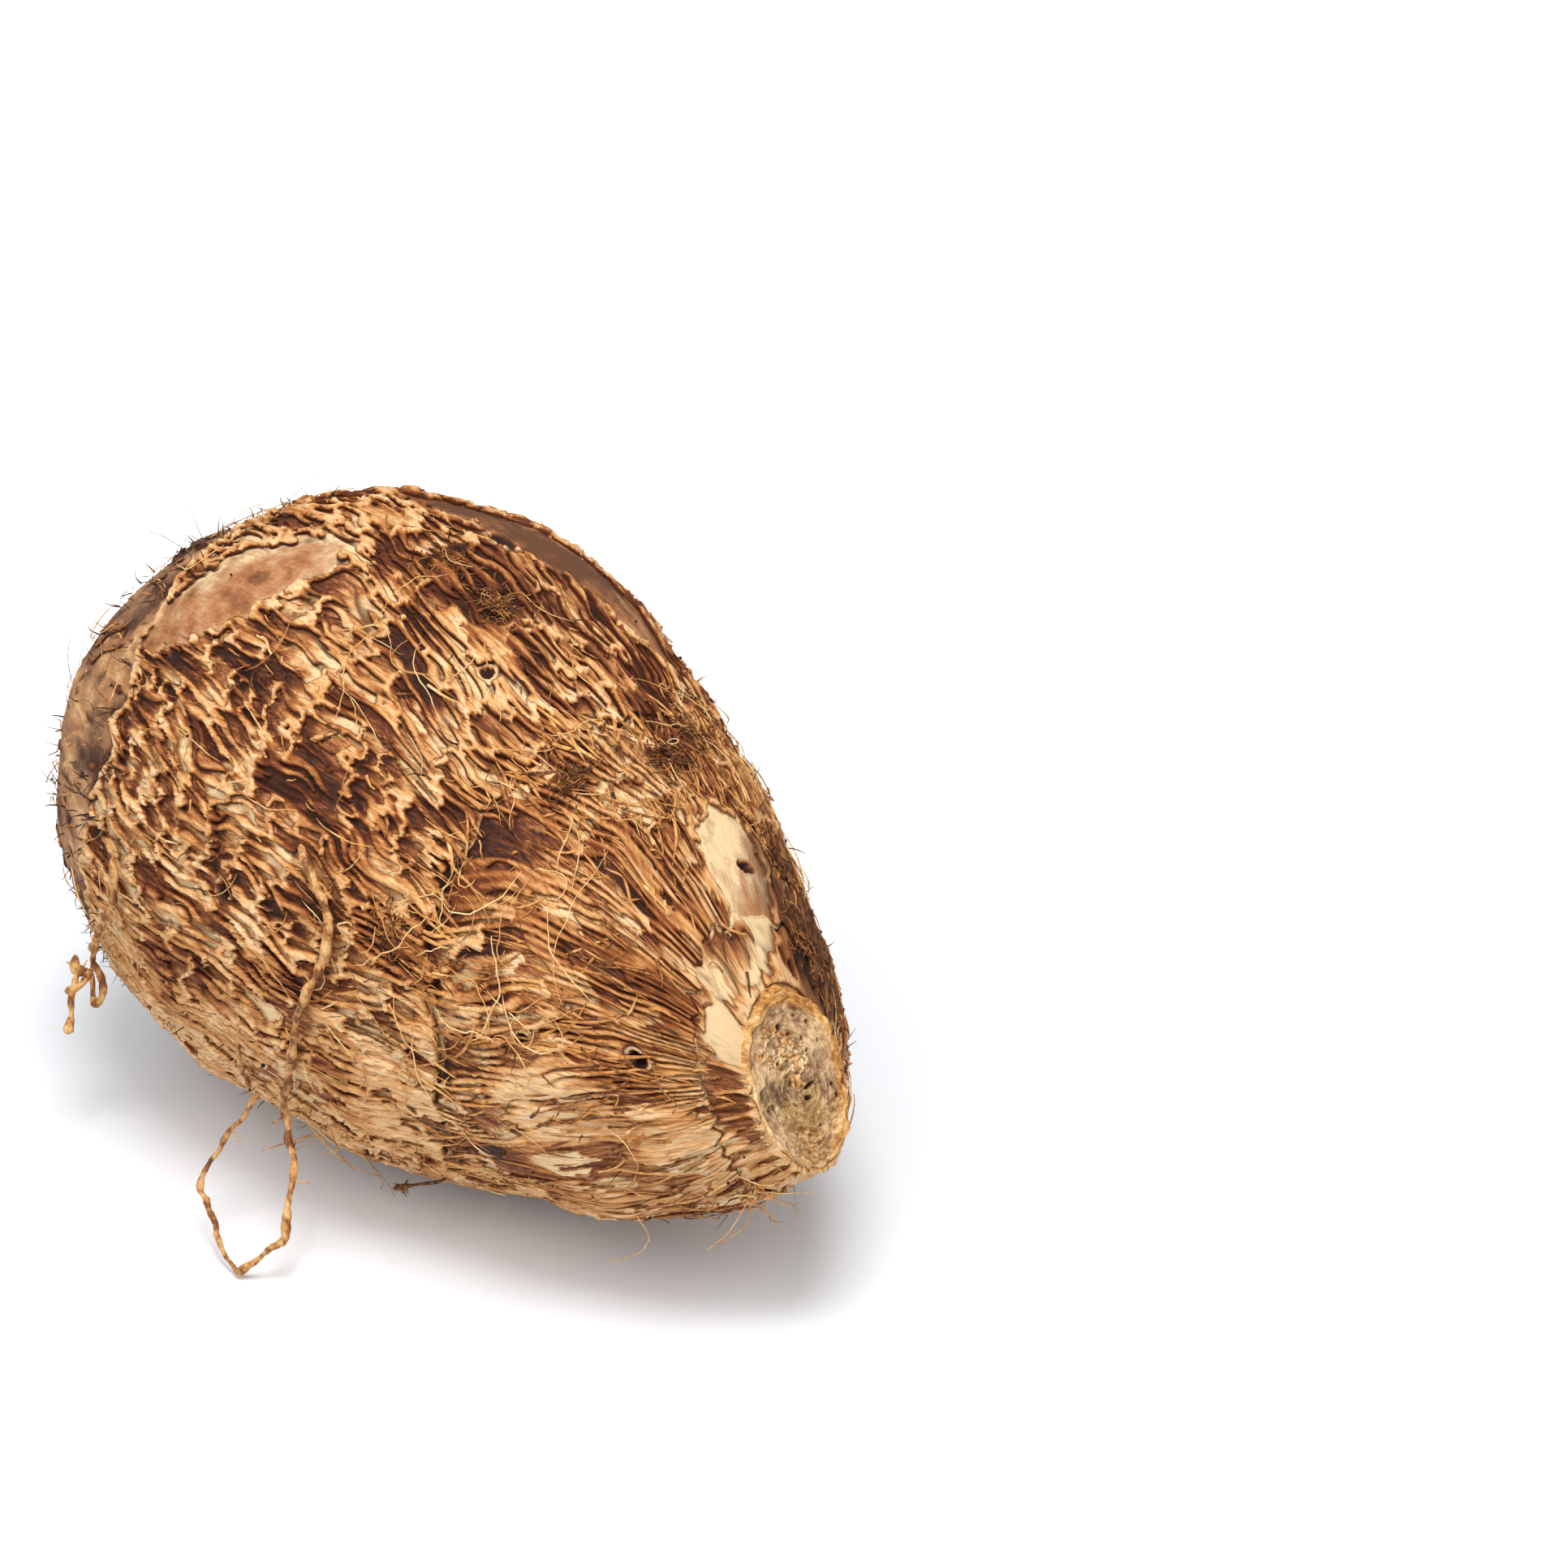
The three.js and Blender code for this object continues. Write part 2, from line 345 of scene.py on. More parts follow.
# Scars of shed roots: way, turn, radius in mm and depth in mm.
ROOT_SCARS = rows_of("way turn radius depth", [
    (108, 78, 2.6, 0.8), (133.6, 105, 1.3, 0.4), (197.6, 75, 1.6, 2.2),
    (196, 165, 1.5, 2.4), (109.6, 168, 1.7, 2.4), (176.8, 171, 1.3, 0.6),
    (123.2, 93, 2.2, 1.6), (98, 305, 2.0, 1.6), (139, 322, 2.4, 1.8),
    (126, 20, 1.8, 1.4), (176, 348, 1.6, 1.6), (72, 30, 2.1, 1.2),
])

# Dark tangles of fibre and soil: way, turn and radius in mm.
KNOTS = rows_of("way turn radius", [
    (111, 93, 4.5), (123, 93, 5.5), (160.8, 111, 5), (156.8, 72, 6),
    (147, 54, 6), (164.8, 84, 4.5), (148, 160, 9), (206, 48, 7),
    (190, 52, 7), (132, 330, 6), (104, 15, 5), (168, 300, 6),
])

# The far side of the shoulder and neck is darkened: partly a dark fibre mat, partly painted shade on
# the side away from the light.
MATTED_AND_SHADED_SIDE = {"way": 200, "turn": 38, "length": 24, "width": 12.5, "slant": -0.2}


def turned(turns, centre):
    """Signed degrees from a centre, the short way round."""
    return (turns - centre + 180) % 360 - 180


def focus(mark, turns):
    """1 at a mark's turn, falling away round the corm over its spread."""
    return hump(turned(turns, mark["turn"]), mark["spread"])


def ring_way(ring, turns):
    """The way of a leaf scar at each turn."""
    swell = ring["swell"] * focus(ring, turns)
    rng = np.random.default_rng([SEED, ring["seed"]])
    sizes = ring["ragged"] * rng.standard_normal(len(WOBBLE_WAVES)) / np.sqrt(len(WOBBLE_WAVES))
    phases = rng.uniform(0, 2 * math.pi, len(WOBBLE_WAVES))
    waves = np.sin(WOBBLE_WAVES * np.radians(turns)[..., None] + phases)
    return ring["level"] + swell + waves @ sizes


def reach_from(spot, ways, turns):
    """How far places are from a spot, where 1 is on its outline."""
    along = ways - spot["way"]
    middle = spot["turn"] + spot.get("slant", 0) * along
    around = np.radians(turned(turns, middle)) * radius_at(spot["way"])
    length = spot.get("length", spot.get("radius"))
    width = spot.get("width", spot.get("radius"))
    return np.hypot(along / length, around / width)


# ---- Bark fields ---------------------------------------------------------------------------------
# Heights are in mm from the CAD corm's skin. The torn layer stands on the lower skin.
LOWER_LEVEL = -0.75
LEAN = 0.35  # mm that crowns lean towards the lower side of a rib
CROWN_COVER = 1.8  # the cover at which a rib is at its full height
FAINT_GROOVE = -0.95  # mm that the bark turns down to where a ring is faint
PATCH_GROOVE = -0.85  # and where a ring crosses a smooth patch
FIELD_CELL = 0.32  # mm between columns of the field grid
POLE_GAP = 0.05  # mm of way from the base's pole to the first row
POLE_CALM = (6, 24)  # mm of way over which the noise laid along the corm comes in
BROWN_TONE = 0.4  # the tone of the lower skin where it's plain brown
FAINTEST = 0.2  # how clearly a ring's edge stands out far from its clear side
NO_COVER = -2.0  # the cover where no flake's end bridges a gap
FRONT = {"turn": 150, "spread": 95, "crowding": 0.9}  # the side with the closest columns

# A band's numbers. cell is the mm between its rows, and columns how many columns it has. flake and
# length are a flake's width and range of lengths, and rib and close_rib the distance between ribs,
# in mm. rib_half is the mm from a flake's side to its rib's edge. fine is the cover between the
# thin ribs. step is the height from the lower skin to a rib's edge, and rise the height from there
# to its crown. dense is the share of close, even fibres, and patchy how far these open in brown
# patches. husk is 1 where the lower skin is smooth husk. drift turns the grain off its straight
# line, and start and end are what the band's two ends add, over a reach in mm.
BANDS = [
    {
        "name": "base_bark", "from": None, "to": LEDGE, "cell": 0.62, "columns": 430, "seed": 100,
        "flake": 6.0, "length": (8, 20), "rib": 3.4, "rib_half": -0.3, "close_rib": 2.4,
        "fine": -1.75, "step": 0.3, "rise": 0.2, "dense": 0.0, "patchy": 0.0, "husk": 1.0,
        "tone": 0, "drift": {"slope": 0, "turn": 180, "spread": 60},
        "start": {"cover": 0, "tone": 0, "reach": 1},
        # Painted shade: the end's tone of -0.3 darkens the bark as it turns down into the ledge's
        # groove.
        "end": {"cover": -1, "tone": -0.3, "reach": 2},
    },
    {
        "name": "belly_bark", "from": LEDGE, "to": CREASE, "cell": 0.63, "columns": 640,
        "seed": 200, "flake": 3.6, "length": (6, 15), "rib": 2.5, "rib_half": 0.46,
        "close_rib": 1.7, "fine": -0.55, "step": 0.52, "rise": 0.6, "dense": 0.0, "patchy": 2.6,
        "husk": 0.0, "tone": 0.1, "drift": {"slope": 0.2, "turn": 135, "spread": 70},
        "start": {"cover": 3, "tone": 0.8, "reach": 1.5},
        "end": {"cover": 1.8, "tone": 0.45, "reach": 3.5},
    },
    {
        "name": "shoulder_bark", "from": CREASE, "to": COLLAR, "cell": 0.56, "columns": 615,
        "seed": 300, "flake": 2.8, "length": (8, 24), "rib": 1.6, "rib_half": 0.3,
        "close_rib": 1.3, "fine": -0.5, "step": 0.4, "rise": 0.46, "dense": 0.9, "patchy": 1.6,
        "husk": 0.0, "tone": 0.24, "drift": {"slope": -0.32, "turn": 175, "spread": 60},
        # Painted shade: the start's tone of -0.5 darkens the shoulder beside the crease as the
        # crease's shadow.
        "start": {"cover": -3, "tone": -0.5, "reach": 2.0},
        "end": {"cover": 0.8, "tone": 0.3, "reach": 1.6},
    },
    {
        "name": "neck_bark", "from": COLLAR, "to": None, "cell": 0.34, "columns": 360, "seed": 400,
        "flake": 3.2, "length": (6, 16), "rib": 1.5, "rib_half": 0.32, "close_rib": 2.7,
        "fine": -0.5, "step": 0.4, "rise": 0.42, "dense": 0.95, "patchy": 1.8, "husk": 0.0,
        "tone": 0.3, "drift": {"slope": -0.1, "turn": 175, "spread": 60},
        # Painted shade: the start's tone of -0.3 darkens the bark as it turns down into the collar's
        # groove.
        "start": {"cover": -1, "tone": -0.3, "reach": 1},
        "end": {"cover": 2.5, "tone": 0.7, "reach": 1.7},
    },
]


def field_grid(band):
    """An even grid over a band, with its steps in mm."""
    middle = (band["from"] or {"level": 0})["level"] + (band["to"] or {"level": WAY_END})["level"]
    girth = 2 * math.pi * radius_at(middle / 2)
    columns = int(girth / FIELD_CELL)
    turns = np.arange(columns) * 360 / columns
    start = ring_way(band["from"], turns) if band["from"] else np.full(columns, POLE_GAP)
    end = ring_way(band["to"], turns) if band["to"] else np.full(columns, WAY_END)
    rows = int(round((end - start).mean() / band["cell"])) + 1
    ways = start + (end - start) * np.linspace(0, 1, rows)[:, None]
    turns = np.broadcast_to(turns, ways.shape)
    return {"ways": ways, "turns": turns, "row_step": band["cell"], "column_step": girth / columns}


FLAKE_WIDTHS = (0.55, 1.45)  # the range of a strip's width, before they fill the girth
LEAST_STRIPS = 8
FLAKE_CHANCES = 64  # flakes of a strip that each have a chance of their own
BRIDGED_FROM = 0.35  # the chance from which a flake's end bridges the gap to the next
STRIPS_BELOW = ((170, 200), (290, 260))  # turns at which the strips low down begin and end
CELLS_ABOVE = (50, 80)  # turns over which the strips elsewhere end
GENTLEST = 0.18  # the least slope from which a distance to a contour is worked out
# Painted shade: this tells which side of a torn edge lies away from the light, where the dark line is
# darkest.
LEE_COLUMNS = 1.5  # columns to each side that tell a torn edge's lee side
TORN_FLOOR = -0.2  # mm; the torn layer doesn't follow the lower skin below this
ZONE_SHARPNESS = 4  # how evenly a zone is filled: its edge falls off as this power


def flakes(grid, width, lengths, sway, seed):
    """Flakes of bark laid like bricks, in strips of uneven width: how far along its flake each
    place is, the mm to its end and to its nearest side, and a chance that each flake has."""
    rng = np.random.default_rng([SEED, seed])
    girth = grid["ways"].shape[1] * grid["column_step"]
    widths = rng.uniform(*FLAKE_WIDTHS, max(int(girth / width), LEAST_STRIPS))
    borders = np.concatenate([[0], np.cumsum(widths)]) / widths.sum() * girth
    around = (grid["turns"] / 360 * girth + sway) % girth
    strip = np.clip(np.searchsorted(borders, around, side="right") - 1, 0, len(widths) - 1)
    side = np.minimum(around - borders[strip], borders[strip + 1] - around)
    length = rng.uniform(*lengths, len(widths))[strip]
    offset = rng.uniform(0, 100, len(widths))[strip]
    ragged = 0.4 * blobs(grid, 14, 0.9, seed + 1) + 1.2 * blobs(grid, 6, 3, seed + 2)
    along = (grid["ways"] + ragged + offset) / length
    number = np.floor(along).astype(int)
    share = along - number
    chance = rng.random((len(widths), FLAKE_CHANCES))[strip, number % FLAKE_CHANCES]
    return {"share": share, "to_end": (1 - share) * length, "side": side, "chance": chance}


def strip_share(grid, seed):
    """1 where the bark is in long even strips, as low on the belly, and 0 where it is in cells."""
    rising, falling = STRIPS_BELOW
    low = smooth_step(*rising, grid["turns"]) * smooth_step(*falling, grid["turns"])
    elsewhere = smooth_step(0.3, 1.2, blobs(grid, 50, 40, seed))
    return np.maximum(low, elsewhere * (1 - smooth_step(*CELLS_ABOVE, grid["turns"])))


def clear_share(ring, turns):
    """How clearly a ring's edge stands out, from FAINTEST to 1."""
    if ring is None:
        return np.zeros(turns.shape)
    return FAINTEST + (1 - FAINTEST) * focus(ring["clear"], turns)


def groove_field(grid, band):
    """How low a band's nearer end row turns down."""
    half = len(grid["ways"]) // 2
    turns = grid["turns"]
    parts = []
    for ring, part in ((band["from"], turns[:half]), (band["to"], turns[half:])):
        depth = ring["groove"] - FAINT_GROOVE if ring else 0
        parts.append(FAINT_GROOVE + depth * clear_share(ring, part))
    return np.concatenate(parts)


def end_effects(grid, band):
    """What a band's two ends add to its cover and tone."""
    from_start = grid["ways"] - grid["ways"][0]
    from_end = grid["ways"][-1] - grid["ways"]
    at_start = hump(from_start, band["start"]["reach"])
    at_start = at_start * clear_share(band["from"], grid["turns"])
    at_end = hump(from_end, band["end"]["reach"])
    if band["to"]:
        at_end = at_end * clear_share(band["to"], grid["turns"])
    return [band["start"][k] * at_start + band["end"][k] * at_end for k in ("cover", "tone")]


def grain_sway(band, grid):
    """The mm round the corm that the grain is off its straight line."""
    seed, drift = band["seed"], band["drift"]
    from_middle = grid["ways"] - grid["ways"].mean(axis=0)
    calm = 1 - 0.75 * band["dense"]
    sway = -drift["slope"] * from_middle * focus(drift, grid["turns"])
    sway += (0.5 + calm) * blobs(grid, 32, 22, seed + 30)
    return sway + calm * (0.5 * blobs(grid, 10, 8, seed + 1) + 0.04 * blobs(grid, 3, 2.4, seed + 2))


def contour_distance(grid, field):
    """Roughly how many mm each place is from where a field crosses 0."""
    down, across = np.gradient(field)
    slope = np.hypot(down / grid["row_step"], across / grid["column_step"])
    return np.abs(field) / np.maximum(slope, GENTLEST)


def bark_marks(band, grid):
    """What a band's fields are worked out from: its sway, flakes, strips and a broad noise."""
    seed = band["seed"]
    sway = grain_sway(band, grid)
    marks = flakes(grid, band["flake"], band["length"], sway, seed + 11)
    return {
        **marks, "columns": sway / grid["column_step"], "strip": strip_share(grid, seed + 4),
        "broad": blobs(grid, 30, 18, seed + 14),
    }


def rib_cover(band, grid, marks):
    """Ribs along the flakes' sides, thinner ribs between them, and close ribs in strips."""
    seed, rib, columns = band["seed"], band["rib"], marks["columns"]
    half = band["rib_half"] * (1 + 0.3 * blobs(grid, 12, 3, seed + 7))
    along_sides = (half - marks["side"]) / 0.4
    along_sides = np.minimum(along_sides, 2 * (blobs(grid, 9, 2.5, seed + 10) + 1.5))
    openness = 0.45 * blobs(grid, 13, 7, seed + 8)
    fine = moved(stripes(grid, rib, 16, seed + 5), 0, columns) + band["fine"] + openness
    cover = np.maximum(along_sides, fine)
    dense = np.maximum(marks["strip"] * (1 - band["husk"]), band["dense"])
    close = moved(stripes(grid, band["close_rib"], 24, seed + 12, spread=0.25), 0, columns)
    broken = moved(blobs(grid, 9, 1.2, seed + 23), 0, columns)
    close = np.minimum(close + 0.6, 2.5 * (broken + 1.3))
    opened = moved(blobs(grid, 24, 7, seed + 27), 0, columns)
    close = close - band["patchy"] * smooth_step(0.6, 1.0, opened)
    return cover * (1 - dense) + close * dense


def bridge_cover(band, grid, marks):
    """Cover where a flake's torn end bridges the gap to the next one, as only some do."""
    chance = marks["chance"]
    if band["husk"]:
        return np.full(chance.shape, NO_COVER)
    ragged = 0.4 * blobs(grid, 5, 1.5, band["seed"] + 13)
    bridge = (1.0 + 1.6 * chance + ragged - marks["to_end"]) / 0.7
    return np.where(chance > BRIDGED_FROM + 0.4 * band["dense"], bridge, NO_COVER)


def add_zones(grid, cover, tone):
    """Add the zones to a cover and a tone. Returns how far they turn the lower skin brown."""
    brown = np.zeros(cover.shape)
    for zone in ZONES:
        inside = np.exp(-(reach_from(zone, grid["ways"], grid["turns"]) ** ZONE_SHARPNESS))
        brown = np.maximum(brown, zone["brown"] * inside)
        cover += zone["cover"] * inside
        tone += zone["tone"] * inside
    return brown


def torn_tone(band, grid, marks, more_tone, brown):
    """The tone of torn bark, palest towards the end of each flake."""
    chance = marks["chance"]
    flake = 0.85 * marks["share"] ** 1.3 * (0.3 + 0.7 * (chance > 0.3))
    tone = -0.12 + 0.5 * chance + flake + 0.1 * marks["broad"]
    tone += 0.16 * blobs(grid, 18, 11, band["seed"] + 29) * (1 - band["dense"])
    tone += more_tone + 0.2 * marks["strip"] + band["tone"]
    return tone + (BROWN_TONE - tone) * brown


def add_husk(band, grid, marks, more_tone, fields):
    """Turn a band's fields to smooth husk with dark pits. Returns its raised veins."""
    seed = band["seed"]
    skin, _ = on_skin(grid["ways"], grid["turns"])
    away = smooth_step(*POLE_CALM, grid["ways"])
    fields["cover"] -= 3 * (1 - away)
    tone = 0.38 + 0.17 * waves_noise(skin, 22, seed + 31) + 0.12 * waves_noise(skin, 6, seed + 32)
    tone += 0.12 * away * blobs(grid, 18, 4, seed + 17) + more_tone
    maze = moved(labyrinth(grid, 8, 2.4, seed + 24, spread=0.6), 0, marks["columns"])
    veins = hump(contour_distance(grid, maze), 0.45)
    veins *= away * smooth_step(-0.6, 0.8, blobs(grid, 14, 9, seed + 25))
    pits = smooth_step(1.7, 2.1, blobs(grid, 5, 2, seed + 26))
    fields["tone"] = tone + (0.35 * veins - 0.8 * pits)
    return veins - 1.5 * pits


def add_patches(grid, marks, fields, seed):
    """Take the torn bark off the smooth patches, and pile it up round them."""
    ragged = 0.07 * blobs(grid, 5, 3, seed + 18)
    mottle = 0.08 * blobs(grid, 6, 4, seed + 19)
    for patch in BARE_PATCHES:
        reach = reach_from(patch, grid["ways"], grid["turns"]) + ragged
        off = np.minimum(fields["cover"], 6 * (reach - 1))
        fields["cover"] = np.where(reach < 1.2, off, fields["cover"]) + 1.4 * hump(reach - 1.1, 0.08)
        inside = smooth_step(1.04, 0.98, reach)
        inner = patch["tone"] + 0.16 * marks["broad"] + mottle
        inner += 0.3 * smooth_step(0.75, 1.0, reach)
        tone = fields["tone"] * (1 - inside) + inner * inside
        fields["tone"] = tone + 0.45 * hump(reach - 1.08, 0.1)
        fields["bare"] = np.maximum(fields["bare"], inside)
        fields["groove"] += (PATCH_GROOVE - fields["groove"]) * inside


def add_knots(grid, marks, fields):
    """Darken and sink the bark under the tangles, and darken the far side: partly its dark fibre mat,
    partly painted shade.
    """
    ways, turns = grid["ways"], grid["turns"]
    for knot in KNOTS:
        dark = hump(reach_from(knot, ways, turns))
        fields["tone"] -= 0.5 * dark
        fields["low"] -= 0.4 * dark
    # Painted shade in part: the far side darkens as a dark fibre mat and as the side away from the
    # light.
    near = reach_from(MATTED_AND_SHADED_SIDE, ways, turns) + 0.15 * marks["broad"]
    fields["matted"] = smooth_step(1.25, 0.7, near)
    fields["tone"] -= 0.7 * fields["matted"]


def add_scars(grid, fields):
    """Sink the root scars' holes, each in a raised lip."""
    for scar in ROOT_SCARS:
        reach = reach_from(scar, grid["ways"], grid["turns"])
        fields["cover"] = np.minimum(fields["cover"], 2 * (reach - 1.5))
        fields["low"] += 0.45 * hump(reach - 1.15, 0.25)
        fields["low"] -= scar["depth"] * smooth_step(1.0, 0.6, reach)
        inside = smooth_step(1.08, 0.85, reach)
        fields["tone"] = fields["tone"] * (1 - inside) - 0.15 * inside
        fields["bare"] *= 1 - inside


def torn_height(band, grid, fields, easy):
    """The height of the torn layer, highest along its ribs' crowns."""
    seed = band["seed"]
    leaned = moved(fields["cover"], 0, -LEAN / grid["column_step"])
    crown = 1 - (1 - np.clip(leaned / CROWN_COVER, 0, 1)) ** 2
    high = np.maximum(TORN_FLOOR, fields["low"]) + fields["step"]
    high = high + band["rise"] * crown * (1 - 0.5 * easy)
    return high + (0.07 * blobs(grid, 10, 1.2, seed + 22) + 0.025 * blobs(grid, 2.5, 1.0, seed + 28))


def painted_edge_shade(band, cover, easy):
    """How dark the painted shade round the torn layer is: a line, darkest on the side away from the
    light.
    """
    lee = np.clip(0.5 + 0.7 * (moved(cover, 0, -LEE_COLUMNS) - moved(cover, 0, LEE_COLUMNS)), 0, 1)
    return (1 - easy) * (0.45 + 0.55 * lee) * (1 - 0.35 * band["dense"])


def bark_fields(band, grid):
    """The torn layer's cover (above 0 where it is), both levels' heights, and the colour fields."""
    seed, ways = band["seed"], grid["ways"]
    marks = bark_marks(band, grid)
    more_cover, more_tone = end_effects(grid, band)
    brown = add_zones(grid, more_cover, more_tone)
    ribs = rib_cover(band, grid, marks) + more_cover
    bridge = bridge_cover(band, grid, marks)
    easy = smooth_step(0.1, 0.9, bridge - ribs) * smooth_step(0.5, 1.0, marks["to_end"])
    cover = np.maximum(ribs, bridge)
    fields = {
        "cover": cover, "tone": torn_tone(band, grid, marks, more_tone, brown * (cover < 0)),
        "bare": np.full(ways.shape, band["husk"]), "groove": groove_field(grid, band),
        "step": band["step"] * (1 - 0.85 * easy),
    }
    veins = add_husk(band, grid, marks, more_tone, fields) if band["husk"] else 0
    add_patches(grid, marks, fields, seed)
    low = -0.3 + 0.5 * marks["share"] ** 1.5 + 0.06 * blobs(grid, 6, 0.7, seed + 15)
    low = low * (1 - fields["bare"]) + 0.03 * blobs(grid, 8, 0.9, seed + 20) + 0.4 * veins
    fields["low"] = low
    add_knots(grid, marks, fields)
    add_scars(grid, fields)
    level = LOWER_LEVEL + 0.3 * blobs(grid, 18, 14, seed + 16) * smooth_step(*POLE_CALM, ways)
    fields["high"] = level + torn_height(band, grid, fields, easy)
    fields["low"] = level + fields["low"]
    # Painted shade: line is the dark line round the torn layer's edges.
    fields["line"] = painted_edge_shade(band, fields["cover"], easy)
    return fields


def thinned(band, grid, fields):
    """The grid and fields at the band's own columns, which lie closest on the front."""
    even = np.arange(0, 361, 0.5)
    crowd = 1 + FRONT["crowding"] * np.exp(-((turned(even, FRONT["turn"]) / FRONT["spread"]) ** 6))
    total = np.concatenate([[0], np.cumsum((crowd[1:] + crowd[:-1]) / 2)])
    wanted = np.arange(band["columns"]) / band["columns"] * total[-1]
    turns = np.interp(wanted, total, even)
    column = turns / 360 * grid["ways"].shape[1]
    near = column.astype(int)
    far = (near + 1) % grid["ways"].shape[1]
    share = column - near
    own = {"ways": grid["ways"], **fields}
    picked = {k: f[:, near] * (1 - share) + f[:, far] * share for k, f in own.items()}
    ways = picked.pop("ways")
    return {"ways": ways, "turns": np.broadcast_to(turns, ways.shape)}, picked


# ---- A surface in two levels ---------------------------------------------------------------------
# A grid cell's corners in order round it are 0 1 2 3, and its edges 4 (0-1) 5 (1-2) 6 (2-3) 7 (3-0).
UNDERCUT = 0.3  # share of a cell that a wall leans in under its edge
EDGE_MARGIN = 0.12  # share of a cell that a wall keeps from the grid's corners
COVER_MARGIN = 0.02  # the least cover, either way, that a grid point may have
WALL_DEPTH = 1  # mm under the lower level that a wall's foot may reach


def cell_case(code):
    """The polygons of the upper and of the lower level, for one mix of covered corners."""
    inside = [bool(code >> corner & 1) for corner in range(4)]
    upper, lower = [], []
    for corner in range(4):
        (upper if inside[corner] else lower).append(corner)
        if inside[corner] != inside[(corner + 1) % 4]:
            upper.append(4 + corner)
            lower.append(4 + corner)
    uppers = [upper] if upper else []
    if inside in ([True, False, True, False], [False, True, False, True]):
        uppers = [[4 + (c + 3) % 4, c, 4 + c] for c in range(4) if inside[c]]
    return uppers, [lower] if lower else []


def between(values, a, b, share):
    return values[a] * (1 - share) + values[b] * share


def off_zero(cover):
    """The cover with bare ends, and with no value so near 0 that a wall would meet a grid point."""
    cover = cover.copy()
    cover[[0, -1]] = -1
    least = np.where(cover < 0, -COVER_MARGIN, COVER_MARGIN)
    return np.where(np.abs(cover) < COVER_MARGIN, least, cover)


def crossings(node, cover, axis):
    """The grid's lines along an axis that a wall crosses: which, between which points, and how far
    from the first point."""
    far = np.roll(node, -1, axis=axis)
    crossed = (cover[node] > 0) != (cover[far] > 0)
    if axis == 0:
        crossed[-1] = False
    a, b = node[crossed], far[crossed]
    share = cover[a] / (cover[a] - cover[b])
    return crossed, a, b, np.clip(share, EDGE_MARGIN, 1 - EDGE_MARGIN)


def cell_polygons(node, inside, crossing):
    """The two levels' polygons, one array for each size, and the walls' quads."""
    right = np.roll(node, -1, axis=1)
    corners = [node[:-1], right[:-1], right[1:], node[1:]]
    code = sum(inside[c].astype(int) << n for n, c in enumerate(corners))

    def indices(number, level):
        if number < 4:
            return corners[number]
        across, along = crossing["round", level], crossing["along", level][:-1]
        return {4: across[:-1], 5: np.roll(along, -1, axis=1), 6: across[1:], 7: along}[number]

    polygons, walls = {size: [] for size in (3, 4, 5, 6)}, []
    for case in range(16):
        cells = code == case
        uppers, lowers = cell_case(case)
        for level, shapes in (("upper", uppers), ("lower", lowers)):
            for shape in shapes:
                ring = [indices(number, level)[cells] for number in shape]
                polygons[len(shape)].append(np.stack(ring, axis=1))
        for shape in uppers:
            for a, b in zip(shape, shape[1:] + shape[:1]):
                if a >= 4 and b >= 4:
                    wall = [(b, "upper"), (a, "upper"), (a, "lower"), (b, "lower")]
                    ring = [indices(number, level)[cells] for number, level in wall]
                    walls.append(np.stack(ring, axis=1))
    return [np.concatenate(p) for p in polygons.values() if p], np.concatenate(walls)


def terrace(grid, fields):
    """A mesh in two levels, with a wall where the cover crosses 0. Returns its points, the levels'
    polygons, the walls' polygons and the fields at each point."""
    cover = off_zero(fields["cover"])
    low = fields["low"].copy()
    low[[0, -1]] = fields["groove"][[0, -1]]
    low, high, inside = low.ravel(), fields["high"].ravel(), (cover > 0).ravel()
    skin, normal = (part.reshape(-1, 3) for part in on_skin(grid["ways"], grid["turns"]))
    flat = {k: f.ravel() for k, f in fields.items()}
    flat.update(cover=cover.ravel(), way=grid["ways"].ravel(), turn=grid["turns"].ravel())
    node = np.arange(cover.size).reshape(cover.shape)
    points = [skin + normal * np.where(inside, high, low)[:, None]]
    values = {k: [f] for k, f in flat.items()}
    crossing = {}
    count = cover.size
    for direction, axis in (("round", 1), ("along", 0)):
        crossed, a, b, share = crossings(node, flat["cover"], axis)
        tuck = np.where(inside[a], -UNDERCUT, UNDERCUT)
        for level, lean in (("upper", 0), ("lower", tuck)):
            place = np.clip(share + lean, COVER_MARGIN, 1 - COVER_MARGIN)
            crossing[direction, level] = np.full(node.shape, -1)
            crossing[direction, level][crossed] = count + np.arange(len(a))
            count += len(a)
            height = np.maximum(between(low, a, b, place), LOWER_LEVEL - WALL_DEPTH)
            if level == "upper":
                height = height + np.where(inside[a], flat["step"][a], flat["step"][b])
            wide = place[:, None]
            points.append(between(skin, a, b, wide) + between(normal, a, b, wide) * height[:, None])
            for label, field in flat.items():
                values[label].append(between(field, a, b, place))
            values["cover"][-1] = np.full(len(a), COVER_MARGIN if level == "upper" else -COVER_MARGIN)
            if direction == "round":
                step = turned(flat["turn"][b], flat["turn"][a])
                values["turn"][-1] = flat["turn"][a] + step * place
    values = {label: np.concatenate(parts) for label, parts in values.items()}
    return np.concatenate(points), *cell_polygons(node, inside, crossing), values


# ---- Bark pieces ---------------------------------------------------------------------------------
GRAIN_RADIUS = 40  # mm; the radius of the straight cylinder that the grain is laid out on
ROUND_END = 50  # mm of way over which that cylinder rounds off at the base
FLOOR_GAP = 0.05  # mm that everything stays above the floor
PIECE_TURNS = ((250, 20), (20, 135), (135, 250))  # bands are cut into pieces along these turns


